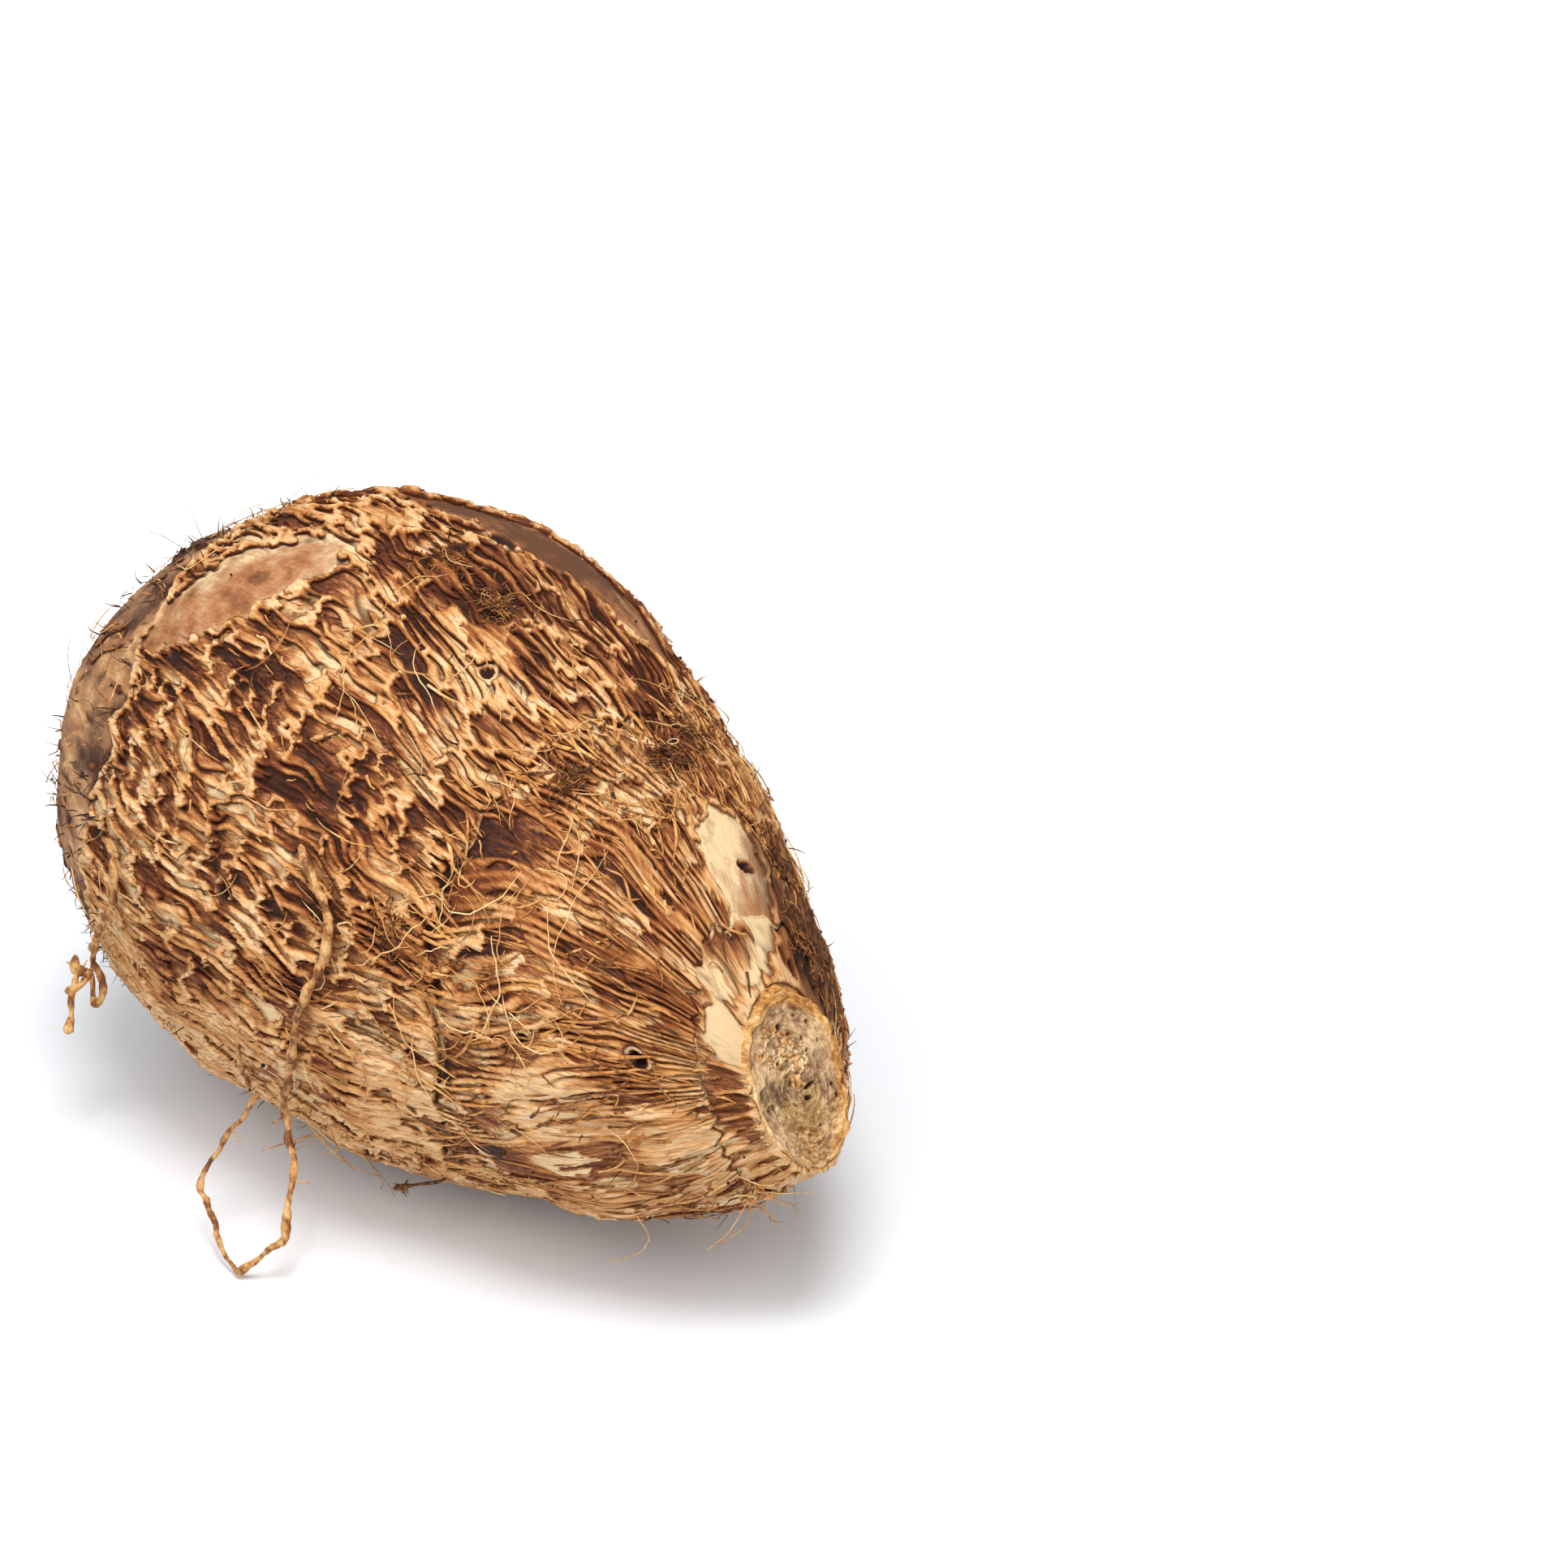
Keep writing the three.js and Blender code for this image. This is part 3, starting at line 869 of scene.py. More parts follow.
def grain_of(ways, turns):
    """Coordinates in mm that run straight along the corm, for streaks in materials."""
    angle = np.radians(turns)
    radius = GRAIN_RADIUS * np.sin(np.clip(ways / ROUND_END, 0, 1) * math.pi / 2)
    return np.stack([radius * np.cos(angle), radius * np.sin(angle), ways], axis=-1)


def above_floor(points):
    points[:, 2] = np.maximum(points[:, 2], FLOOR_GAP)
    return points


def part_of(points, polygons, values, chosen):
    """The points, polygons and values of the polygons whose first point is chosen."""
    kept = [p[chosen[p[:, 0]]] for p in polygons]
    used = np.zeros(len(points), bool)
    for polygon in kept:
        used[polygon.ravel()] = True
    index = np.cumsum(used) - 1
    kept = [index[p] for p in kept]
    return points[used], kept, {label: v[used] for label, v in values.items()}


def add_bark(band, material):
    grid = field_grid(band)
    grid, fields = thinned(band, grid, bark_fields(band, grid))
    points, polygons, walls, values = terrace(grid, fields)
    turns = values.pop("turn") % 360
    values["grain"] = grain_of(values.pop("way"), turns)
    values["ridge"] = np.clip(values.pop("cover"), -1.5, 1.5)
    del values["low"], values["high"], values["step"], values["groove"]
    points = above_floor(points)
    pieces = []
    for n, (first, last) in enumerate(PIECE_TURNS):
        chosen = (turns - first) % 360 < (last - first) % 360
        part, (*shown, steep), data = part_of(points, [*polygons, walls], values, chosen)
        pieces.append(add_mesh(f"{band['name']}_{n + 1}", part, shown, data, material, [steep]))
    return pieces


# ---- Strands: fibres, strips and roots -----------------------------------------------------------
BOX_MARGIN = 0.022  # share of each side that loose fibres may stand out of the CAD box
BOX = np.array([list(corner) for corner in CAD_BOUNDS]) / MM
ROOM = (BOX[1] - BOX[0]) * BOX_MARGIN


def in_room(points):
    """Keep points in the CAD box with its margin, and above the floor."""
    low, high = BOX[0] - ROOM, BOX[1] + ROOM
    low[2] = FLOOR_GAP
    return np.clip(points, low, high)


def strands(paths, up, radii, sides, flatness=1.0):
    """Closed tubes along paths (strands, steps, 3). A flatness below 1 makes strips that lie flat
    across the direction up. Returns points and polygons."""
    count, steps = paths.shape[:2]
    tangent = unit(np.gradient(paths, axis=1))
    side = unit(np.cross(tangent, up))
    rise = np.cross(side, tangent)
    angle = np.arange(sides) * 2 * math.pi / sides
    wide = radii[..., None, None] * side[:, :, None] * np.cos(angle)[:, None]
    thick = radii[..., None, None] * rise[:, :, None] * np.sin(angle)[:, None] * flatness
    points = (paths[:, :, None] + wide + thick).reshape(-1, 3)
    node = np.arange(count * steps * sides).reshape(count, steps, sides)
    after = np.roll(node, -1, axis=2)
    quads = np.stack([node[:, :-1], node[:, 1:], after[:, 1:], after[:, :-1]], axis=-1)
    caps = np.concatenate([node[:, 0], node[:, -1, ::-1]])
    return points, [quads.reshape(-1, 4), caps]


PATCH_MARGIN = 1.1  # how near a patch, where 1 is its outline, strands may come
LEAST_RADIUS = 4  # mm that a crawling strand takes the corm's radius to be, at least
CRAWL_START = 1  # mm of way from the base's pole that strands keep to
SPOT_SPREAD = 0.6  # how far places scatter round a spot, as a share of its radius


def crawl(ways, turns, headings, lengths, steps, bend, wander, rng):
    """Paths that crawl over the skin. A heading of 0 points to the neck. bend is the turning in
    radians over the whole path, and wander the random turning at each step."""
    path = []
    ways, turns, headings = ways.copy(), turns.copy(), headings.copy()
    stride = lengths / (steps - 1)
    for _ in range(steps):
        path.append((ways.copy(), turns.copy()))
        headings += bend / steps + wander * rng.standard_normal(len(ways))
        ways = np.clip(ways + stride * np.cos(headings), CRAWL_START, WAY_END)
        radius = np.maximum(radius_at(ways), LEAST_RADIUS)
        turns = turns + np.degrees(stride * np.sin(headings) / radius)
    return np.array(path).transpose(1, 2, 0)


def off_patches(ways, turns):
    """Whether each place is off the smooth patches."""
    free = np.ones(ways.shape, bool)
    for patch in BARE_PATCHES:
        free &= reach_from(patch, ways, turns) > PATCH_MARGIN
    return free


def scatter(count, rng, spots=None):
    """Random places on the skin as ways and turns: even over its area, or round given spots."""
    if spots is None:
        ways = rng.uniform(CRAWL_START, WAY_END, count * 4)
        ways = ways[rng.random(count * 4) < radius_at(ways) / RADII.max()][:count]
        return ways, rng.uniform(0, 360, len(ways))
    chosen = rng.integers(len(spots), size=count)
    way, turn, radius = (np.array([s[k] for s in spots])[chosen] for k in ("way", "turn", "radius"))
    out = radius * rng.normal(0, SPOT_SPREAD, count)
    angle = rng.uniform(0, math.pi, count)
    ways = np.clip(way + out * np.cos(angle), 2, WAY_END - 1)
    return ways, turn + np.degrees(out * np.sin(angle) / radius_at(ways))


def ring_places(ring, count, spread, rng):
    """Random places within a spread in mm of a leaf scar."""
    turns = rng.uniform(0, 360, count)
    return np.clip(ring_way(ring, turns) + rng.normal(0, spread, count), 2, WAY_END), turns


def grain_heading(ways, turns):
    """The direction of the bark's grain, in radians from straight towards the neck."""
    heading = np.zeros(len(ways))
    for band in BANDS:
        start = ring_way(band["from"], turns) if band["from"] else 0
        drifted = np.arctan(band["drift"]["slope"] * focus(band["drift"], turns))
        heading = np.where(ways >= start, drifted, heading)
    return heading


def strand_piece(name, kind, places, material, seed):
    """One mesh of many strands of a kind, starting at places (ways, turns)."""
    rng = np.random.default_rng([SEED, seed])
    ways, turns = places
    count, steps = len(ways), kind["steps"]
    headings = rng.normal(kind["heading"], kind["heading_spread"], count)
    headings += grain_heading(ways, turns)
    lengths = rng.uniform(*kind["length"], count)
    bend = rng.normal(0, kind["bend"], count)
    way, turn = crawl(ways, turns, headings, lengths, steps, bend, kind["wander"], rng)
    free = off_patches(way, turn).all(axis=1)
    way, turn = way[free], turn[free]
    count = len(way)
    skin, up = on_skin(way, turn)
    share = np.linspace(0, 1, steps)
    lift = rng.uniform(*kind["lift"], count)[:, None] * share ** kind["lift_power"]
    arch = rng.uniform(*kind["arch"], count)[:, None] * np.sin(math.pi * share)
    paths = skin + up * (kind["base"] + lift + arch)[..., None]
    paths = in_room(paths)
    taper = 1 - kind["taper"] * np.abs(2 * share - 1) ** 2
    if kind["one_ended"]:
        taper = 1 - kind["taper"] * share**1.5
    radii = rng.uniform(*kind["radius"], count)[:, None] * taper
    radii = radii * (1 + kind["uneven"] * rng.standard_normal((count, steps)).clip(-1, 1))
    points, polygons = strands(paths, up, radii, kind["sides"], kind["flatness"])
    values = {
        "shade": np.repeat(rng.uniform(*kind["shade"], count), steps * kind["sides"]),
        "grain": np.repeat(grain_of(way.ravel(), turn.ravel()), kind["sides"], axis=0),
    }
    return add_mesh(name, in_room(points), polygons, values, material)


# Kinds of strand. length and radius are in mm, heading is in radians from the grain, bend is the
# spread of the whole turning, wander the turning at each step. base, lift and arch are mm off the
# skin: everywhere, growing to the far end as a power, and in the middle. taper is the share of the
# radius lost at the ends, or at the far one only, and shade is the place in the colour ramp.
STRAND = dict(
    sides=4, flatness=1, heading=0, lift_power=1, taper=0.5, one_ended=False, uneven=0.15,
)
LYING_FIBRE = dict(
    STRAND, steps=12, length=(5, 16), radius=(0.08, 0.16), flatness=0.8, heading_spread=0.3,
    bend=0.9, wander=0.1, base=-0.1, lift=(-0.3, 0.4), arch=(0, 0.5), taper=0.6, shade=(0.3, 0.9),
)
GRAIN_FIBRE = dict(
    STRAND, steps=8, length=(6, 16), radius=(0.18, 0.36), flatness=0.7, heading_spread=0.1,
    bend=0.4, wander=0.07, base=-0.6, lift=(-0.3, 0.2), arch=(-0.1, 0.35), taper=0.75, uneven=0.1,
    shade=(0.25, 0.6),
)
BRIDGING_FIBRE = dict(
    STRAND, steps=8, sides=5, length=(8, 15), radius=(0.22, 0.42), flatness=0.6,
    heading_spread=0.12, bend=0.5, wander=0.08, base=-0.5, lift=(-0.3, 0.2), arch=(0.2, 0.8),
    taper=0.8, uneven=0.1, shade=(0.2, 0.7),
)
CURLY_FIBRE = dict(
    STRAND, steps=16, length=(5, 15), radius=(0.08, 0.15), heading_spread=2.0, bend=2.6,
    wander=0.25, base=0, lift=(0, 1.0), arch=(0.2, 1.2), shade=(0.35, 0.95),
)
KNOT_FIBRE = dict(
    STRAND, steps=7, sides=3, length=(1.2, 4.5), radius=(0.06, 0.15), heading_spread=2.0, bend=1.6,
    wander=0.3, base=-0.4, lift=(0, 0.8), arch=(0, 0.6), taper=0.6, uneven=0.2, shade=(0.02, 0.5),
)
LONG_CURL = dict(
    STRAND, steps=26, sides=5, length=(12, 26), radius=(0.08, 0.14), heading_spread=1.4, bend=1.2,
    wander=0.22, base=0, lift=(0, 1.4), arch=(0.4, 2.0), uneven=0.08, shade=(0.5, 0.9),
)
BRISTLE = dict(
    STRAND, steps=6, length=(1.0, 4), radius=(0.08, 0.22), flatness=0.8, heading=3.1,
    heading_spread=0.9, bend=0.9, wander=0.2, base=-0.6, lift=(0.8, 3.2), lift_power=1.2,
    arch=(0, 0.4), taper=0.8, one_ended=True, shade=(0.2, 0.9),
)
FLAKE_BIT = dict(
    STRAND, steps=4, length=(1.4, 4), radius=(0.12, 0.32), flatness=0.4, heading_spread=0.5,
    bend=0.5, wander=0.15, base=-0.25, lift=(0, 0.7), lift_power=1.5, arch=(0, 0.2), taper=0.7,
    one_ended=True, shade=(0.1, 0.7),
)
TORN_STRIP = dict(
    STRAND, steps=9, sides=6, length=(3, 8), radius=(0.2, 0.4), flatness=0.35, heading_spread=0.3,
    bend=0.6, wander=0.1, base=-0.3, lift=(0, 1.4), lift_power=2, arch=(0, 0.3), taper=0.6,
    one_ended=True, uneven=0.08, shade=(0.3, 0.8),
)
WHISKER = dict(
    STRAND, steps=16, length=(8, 20), radius=(0.06, 0.1), heading=3.1, heading_spread=1.0, bend=1.0,
    wander=0.08, base=-0.4, lift=(4, 10), lift_power=1.1, arch=(0, 2), one_ended=True, uneven=0.1,
    shade=(0.2, 0.8),
)
HANGING_FIBRE = dict(
    STRAND, steps=20, length=(8, 20), radius=(0.1, 0.19), heading=1.6, heading_spread=0.9, bend=1.6,
    wander=0.25, base=-0.4, lift=(3, 9), lift_power=1.3, arch=(-1, 2), one_ended=True, uneven=0.1,
    shade=(0.4, 0.95),
)
WHISKER_SPOTS = rows_of("way turn radius", [
    (70, 92, 14), (56, 110, 10), (36, 150, 10), (60, 300, 14),
])
CURL_SPOTS = rows_of("way turn radius", [
    (150, 160, 12), (168, 175, 12), (175, 130, 14), (120, 110, 25), (130, 320, 25),
])
HANGING_SPOTS = rows_of("way turn radius", [
    (200, 238, 7), (182, 236, 8), (120, 225, 8),
])


LUMPINESS = 0.35  # how uneven a crumb of soil is
CRUMB_LIFT = 0.2  # mm from the skin to a crumb's middle
DARKEST_SHADES = 0.3  # crumbs take their colours from below this place in the ramp


def add_crumbs(name, places, sizes, material, seed):
    """Lumps of dry soil that sit on the bark."""
    rng = np.random.default_rng([SEED, seed])
    ways, turns = places
    sphere = bmesh.new()
    bmesh.ops.create_icosphere(sphere, subdivisions=1, radius=1)
    ball = np.array([v.co for v in sphere.verts])
    faces = np.array([[v.index for v in f.verts] for f in sphere.faces])
    sphere.free()
    skin, up = on_skin(ways, turns)
    size = rng.uniform(*sizes, len(ways))
    stretch = rng.uniform(0.55, 1.3, (len(ways), 1, 3))
    lumps = ball * stretch
    lumps *= 1 + LUMPINESS * waves_noise(lumps * 3 + skin[:, None], 2.0, seed)[..., None]
    points = skin[:, None] + up[:, None] * CRUMB_LIFT + lumps * size[:, None, None]
    faces = (faces + len(ball) * np.arange(len(ways))[:, None, None]).reshape(-1, 3)
    points = in_room(points.reshape(-1, 3))
    shade = np.repeat(rng.random(len(ways)) * DARKEST_SHADES, len(ball))
    values = {"shade": shade, "grain": points.copy()}
    return add_mesh(name, points, [faces], values, material)


# ---- Roots ---------------------------------------------------------------------------------------
# Places are in mm from the middle of the corm's box in x and y, and from the floor in z.
LOOPED_ROOT = [
    (4.8, -48.6, 78), (8.4, -49.6, 73.6), (11.1, -50.3, 70.1), (13.1, -51, 66.5),
    (13.2, -51.9, 62), (11.3, -52.9, 58), (9.1, -53.6, 53.6), (7.5, -53.6, 50.4),
    (5.7, -53.4, 45.2), (3.7, -52.6, 39.7), (-0.1, -50.8, 33), (-2.4, -49.4, 27),
    (-1.8, -49.5, 23.6), (-0.6, -50.4, 21.3), (2, -51.8, 19), (3, -53.6, 16.3),
    (4.3, -55.6, 13.2), (5.5, -57.4, 10.6), (6, -58.8, 8.5), (3.3, -60.7, 5.4),
    (0.5, -62.4, 2.6), (-1.2, -63.3, 1.2), (-4.6, -62.5, 2.2), (-8, -61.1, 4.1),
    (-11.1, -59.7, 6.2), (-14, -58.4, 8.3), (-16, -57.7, 9.4), (-16.5, -55.7, 12.2),
    (-15, -53.6, 15.6), (-14.4, -51.8, 18.5), (-12.2, -50, 21.8), (-11.2, -49, 24.2),
    (-9.6, -48.6, 26.2),
]
ROOT_RUN = [
    (-41.7, -51.2, 64.7), (-38.7, -52.4, 61), (-39.1, -52.6, 57.2), (-42, -52.1, 51.6),
    (-47.6, -50.3, 44.9), (-53.8, -46.6, 38.4), (-56.2, -45.3, 34.6), (-56.6, -45.8, 32.2),
]
ROOT_STUB = [(-56.4, -45.4, 32.8), (-57.2, -47, 30.6), (-58.2, -48.3, 29.6), (-59.6, -49.6, 29)]
ROOT_BUD = [(-56.6, -45.6, 32.4), (-57.8, -46.4, 32.2), (-59.1, -47.2, 32.8), (-59.6, -46.6, 35.2)]
ROOT_STICK = [(-58.4, -47.2, 32), (-58.2, -48.4, 28.8), (-57.6, -50, 25.6), (-57, -51.6, 22.2)]
ROOT_RING = [
    (-56.5, -45.9, 32.4), (-56, -46.4, 30.6), (-55.2, -47, 28.6), (-54.2, -47.2, 27.4),
    (-53.2, -46.8, 28), (-53, -46.2, 30.2), (-54, -45.8, 32.6), (-56, -45.5, 34.2),
]
UNDER_ROOT = [(20, -31.5, 15), (17.6, -34.6, 13), (15, -37.2, 12.8), (12.4, -39.4, 11.8)]
THIN_ROOT = [(-10, -51.5, 42), (-13, -49.6, 35), (-17, -45.9, 26.7), (-20.4, -41.2, 20.2)]
ROOT_STEP = 0.6  # mm between a root's rings
ROOT_SIDES = 10
ROOT_WANDER = 0.16  # mm
ROOT_ENDS = 0.35  # a root's radius at its two tips, as a share
CURVE_STEPS = 12  # steps of the curve between two points of a route
TWIG_STEPS = 5
ROOT_UP = (0.31, -0.84, 0.45)  # a direction that no root runs along


def from_corm_middle(points):
    """Points in the frame, from points that start at the corm's middle."""
    low, high = (np.array(list(corner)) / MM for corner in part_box("corm"))
    shift = np.array([(low[0] + high[0]) / 2, (low[1] + high[1]) / 2, 0])
    return np.array(points, float) + shift


def smooth_path(points):
    """A Catmull-Rom curve through points, at even small steps."""
    padded = np.concatenate([2 * points[:1] - points[1:2], points, 2 * points[-1:] - points[-2:-1]])
    t = np.linspace(0, 1, CURVE_STEPS, endpoint=False)[:, None]
    parts = []
    for a, b, c, d in zip(padded, padded[1:], padded[2:], padded[3:]):
        parts.append(0.5 * (2 * b + (c - a) * t + (2 * a - 5 * b + 4 * c - d) * t**2
                            + (3 * b - a - 3 * c + d) * t**3))
    curve = np.concatenate([*parts, points[-1:]])
    length = np.concatenate([[0], np.cumsum(np.linalg.norm(np.diff(curve, axis=0), axis=1))])
    even = np.linspace(0, length[-1], max(int(length[-1] / ROOT_STEP), 6))
    return np.stack([np.interp(even, length, axis) for axis in curve.T], axis=1)


def root_tube(path, thick, thin, seed):
    """A knobbly dead root along a path, from thick to thin (radii in mm)."""
    rng = np.random.default_rng([SEED, seed])
    path = smooth_path(path)
    steps = len(path)
    wander = np.stack([waves_noise(path, 3.0, seed + k) for k in range(3)], axis=1)
    path = path + ROOT_WANDER * wander
    share = np.linspace(0, 1, steps)
    radii = thick + (thin - thick) * share
    radii = radii * (1 + 0.16 * waves_noise(path, 1.6, seed + 5))
    for place in rng.uniform(0.05, 0.95, max(steps // 9, 2)):
        radii += thin * rng.uniform(0.2, 0.6) * hump((share - place) * steps, 1.6)
    radii[[0, -1]] *= ROOT_ENDS
    tangent = unit(np.gradient(path, axis=0))
    up = unit(np.cross(tangent, ROOT_UP))
    points, polygons = strands(path[None], up[None], radii[None], ROOT_SIDES)
    outward = unit(points - np.repeat(path, ROOT_SIDES, axis=0))
    points += 0.07 * thick * waves_noise(points, 0.5, seed + 7)[:, None] * outward
    return points, polygons


def twigs(path, count, length, radius, seed):
    """Short side rootlets off a path, as (points, polygons) parts."""
    rng = np.random.default_rng([SEED, seed])
    path = smooth_path(path)
    parts = []
    for n in range(count):
        start = path[rng.integers(2, len(path) - 2)]
        aim = unit(rng.standard_normal(3))
        reach = rng.uniform(*length)
        bend = unit(rng.standard_normal(3)) * 0.5
        t = np.linspace(0, 1, TWIG_STEPS)[:, None]
        line = start + reach * (aim * t + bend * t**2 * 0.6)
        parts.append(root_tube(line, radius, radius * 0.4, seed + 10 * n))
    return parts


def merged(parts):
    """Several (points, polygons) parts as one."""
    points, by_size, count = [], {}, 0
    for part_points, polygons in parts:
        for polygon in polygons:
            by_size.setdefault(polygon.shape[1], []).append(polygon + count)
        points.append(part_points)
        count += len(part_points)
    return np.concatenate(points), [np.concatenate(group) for group in by_size.values()]


def add_root(name, parts, material, shade=0.5):
    points, polygons = merged(parts)
    values = {"shade": np.full(len(points), shade), "grain": points.copy()}
    return add_mesh(name, in_room(points), polygons, values, material)


def root_parts(points, tube, side_twigs, last=None):
    """A root's tube (thick, thin, seed) and its twigs (count, lengths, radius, seed), which may
    grow from its last few points only."""
    path = from_corm_middle(points)
    return [root_tube(path, *tube), *twigs(path[-last:] if last else path, *side_twigs)]


# ---- The knife cut -------------------------------------------------------------------------------
# Places on the cut are mm to the side and up from its middle, as seen facing it. A hole is a place
# and a radius, and an area a place and its half width and half height.
CUT_RINGS = 80
CUT_SPOKES = 260
CUT_SINK = 0.7  # mm that the dried middle lies under the cut's plane
CUT_SKIRT = 3.0  # mm that the outermost ring turns back
CUT_HOLES = [
    (5.6, 7.7, 0.4), (-0.3, 8.9, 0.6), (1.1, 7.3, 0.4), (3.3, 5.7, 0.35), (6.2, 4.3, 0.35),
    (3.5, 3.6, 0.35), (-1.3, -0.2, 0.4), (-3.3, 3.8, 0.35), (7.0, -5.4, 0.5), (6.8, -3.4, 0.35),
    (1.9, -8.6, 0.3), (-3.4, -8.2, 0.3), (3.4, 9.6, 0.3),
]
CUT_SLOTS = rows_of("side up length width lean", [
    (2.3, -1.9, 1.3, 0.4, 0.1), (1.3, -3.7, 0.9, 0.45, -0.4), (-1.0, 3.2, 1.2, 0.25, 1.4),
])
CUT_AREAS = {
    "green": [(-4.8, -0.6, 3.6, 2.9)],
    "khaki": [(-1.5, -6.3, 5.5, 3.6), (1.5, -4.2, 3, 2.4)],
    "crumbly": [(-2.6, 6.0, 3.4, 5.0), (1.6, 4.4, 2.6, 1.9), (0.2, 1.2, 3.2, 2.3)],
    "flaky": [(-2.5, -11.5, 7, 3.2), (6.5, -8.5, 3.5, 4), (9.2, -2, 1.8, 5)],
}
CRUMB_COUNT = 1100
CRUMB_REACH = (12, 17)  # mm from the cut's middle to the side and up
CREVICE = 0.16  # mm from a crumb's outline to where it's at its full height
CUT_START = 0.01  # where the innermost ring is, as a share of the way to the rim
SKIRT_START = 0.97  # and where the skirt starts to turn back
GRAIN_DEPTH = 30  # mm that the grain's third coordinate grows from the middle to the rim


def cut_areas(side, up, wobble):
    """How far each place is inside each kind of area, from 0 to 1."""
    shares = {}
    for name, areas in CUT_AREAS.items():
        reach = [np.hypot((side - x) / w, (up - y) / h) for x, y, w, h in areas]
        shares[name] = smooth_step(1.3, 0.75, np.min(reach, axis=0) + wobble)
    return shares


def cut_holes(side, up):
    """1 in the holes and slots of the cut."""
    reach = [np.hypot(side - x, up - y) / radius for x, y, radius in CUT_HOLES]
    for slot in CUT_SLOTS:
        x, y = side - slot["side"], up - slot["up"]
        along = x * math.cos(slot["lean"]) + y * math.sin(slot["lean"])
        across = y * math.cos(slot["lean"]) - x * math.sin(slot["lean"])
        reach.append(np.hypot(along / slot["length"], across / slot["width"]))
    return smooth_step(1.25, 0.7, np.min(reach, axis=0))


def crumb_cells(side, up, seed):
    """A number for each place's crumb, and 0 to 1 from the crumb's outline to its inside."""
    rng = np.random.default_rng([SEED, seed])
    middles = rng.uniform(-1, 1, (CRUMB_COUNT, 2)) * CRUMB_REACH
    numbers = rng.random(CRUMB_COUNT)
    away = np.hypot(side[..., None] - middles[:, 0], up[..., None] - middles[:, 1])
    nearest, second = np.moveaxis(np.partition(away, 1, axis=-1)[..., :2], -1, 0)
    return numbers[away.argmin(axis=-1)], smooth_step(0, CREVICE, (second - nearest) / 2)


def cut_disc():
    """Points of a flat disc that fills the cut, and their share of the way from middle to rim."""
    turns = np.arange(CUT_SPOKES) * 360 / CUT_SPOKES
    rim, _ = on_skin(np.full(CUT_SPOKES, WAY_END), turns)
    rim = rim - ((rim - CUT_MIDDLE) @ CUT_NORMAL)[:, None] * CUT_NORMAL
    middle = rim.mean(axis=0)
    share = np.linspace(CUT_START, 1, CUT_RINGS)[:, None]
    ragged = 0.02 * waves_noise(rim, 5, 608) + 0.015 * waves_noise(rim, 1.6, 609) - 0.02
    spread = share * (1 + share**4 * ragged + 0.06 * smooth_step(SKIRT_START, 1, share))
    return middle, middle + spread[..., None] * (rim - middle), share


def cut_fields(side, up, flat, share):
    """The height and the colour fields of the cut."""
    broad, rough = waves_noise(flat, 8, 601), waves_noise(flat, 2.6, 602)
    fine = waves_noise(flat, 1.2, 603) + 0.7 * waves_noise(flat, 0.7, 604)
    area = cut_areas(side, up, 0.22 * waves_noise(flat, 3, 605) + 0.12 * fine)
    crumb, inside = crumb_cells(side + 0.3 * fine, up + 0.3 * waves_noise(flat, 1.1, 611), 612)
    golden = smooth_step(-3, 4, side + 0.3 * up + rough)
    edge = 0.95 - 0.13 * golden + 0.03 * broad + 0.012 * fine
    rimmed = smooth_step(edge - 0.025, edge + 0.025, share)
    cracks = smooth_step(0.14, 0.03, np.abs(waves_noise(flat, 3.4, 607))) * area["green"]
    veins = smooth_step(0.16, 0.03, np.abs(waves_noise(flat, 2.6, 613) + 0.15 * fine))
    veins *= np.maximum(area["khaki"], area["flaky"])
    pit = cut_holes(side, up)
    crumbled = np.maximum(area["crumbly"], 0.75 * area["flaky"]) * (1 - rimmed)
    height = 0.22 * broad + 0.1 * rough + 0.045 * fine
    height += crumbled * (0.35 * crumb * inside - 0.12 * (1 - inside))
    height += 0.2 * cracks - 0.25 * area["green"] - 0.15 * veins
    height = -CUT_SINK + height + rimmed * (0.5 + 0.12 * rough + 0.05 * fine - 0.5 * height)
    height -= 0.8 * pit + CUT_SKIRT * smooth_step(SKIRT_START, 1.0, share) ** 2
    return height, {
        "rim": rimmed, "golden": golden, "green": area["green"] * (1 - rimmed),
        "khaki": area["khaki"] * (1 - rimmed), "crumbly": np.maximum(crumbled, cracks),
        "crumb": 0.5 + 0.25 * crumb + 0.16 * broad,
        # Painted shade: pit darkens the holes, the crevices between crumbs and the veins.
        "pit": np.max([pit, 0.75 * crumbled * (1 - inside), 0.5 * veins], axis=0),
        "height": 0.35 * broad + 0.2 * rough + 0.15 * fine,
    }


def add_cut_face(material):
    """The dried cut: grey and crumbly flesh with holes, in a rim that is golden on one side."""
    middle, flat, share = cut_disc()
    to_side = unit(np.cross([0, 0, 1], CUT_NORMAL))
    side = (flat - middle) @ to_side
    up = (flat - middle) @ np.cross(CUT_NORMAL, to_side)
    height, fields = cut_fields(side, up, flat, share)
    points = flat + CUT_NORMAL * height[..., None]
    node = np.arange(height.size).reshape(height.shape)
    after = np.roll(node, -1, axis=1)
    quads = np.stack([node[:-1], node[1:], after[1:], after[:-1]], axis=-1).reshape(-1, 4)
    values = {label: field.ravel() for label, field in fields.items()}
    values["grain"] = np.stack([side, up, GRAIN_DEPTH * share + 0 * up], axis=-1).reshape(-1, 3)
    return add_mesh("cut_face", points.reshape(-1, 3), [quads, node[:1]], values, material)


# ---- Materials -----------------------------------------------------------------------------------


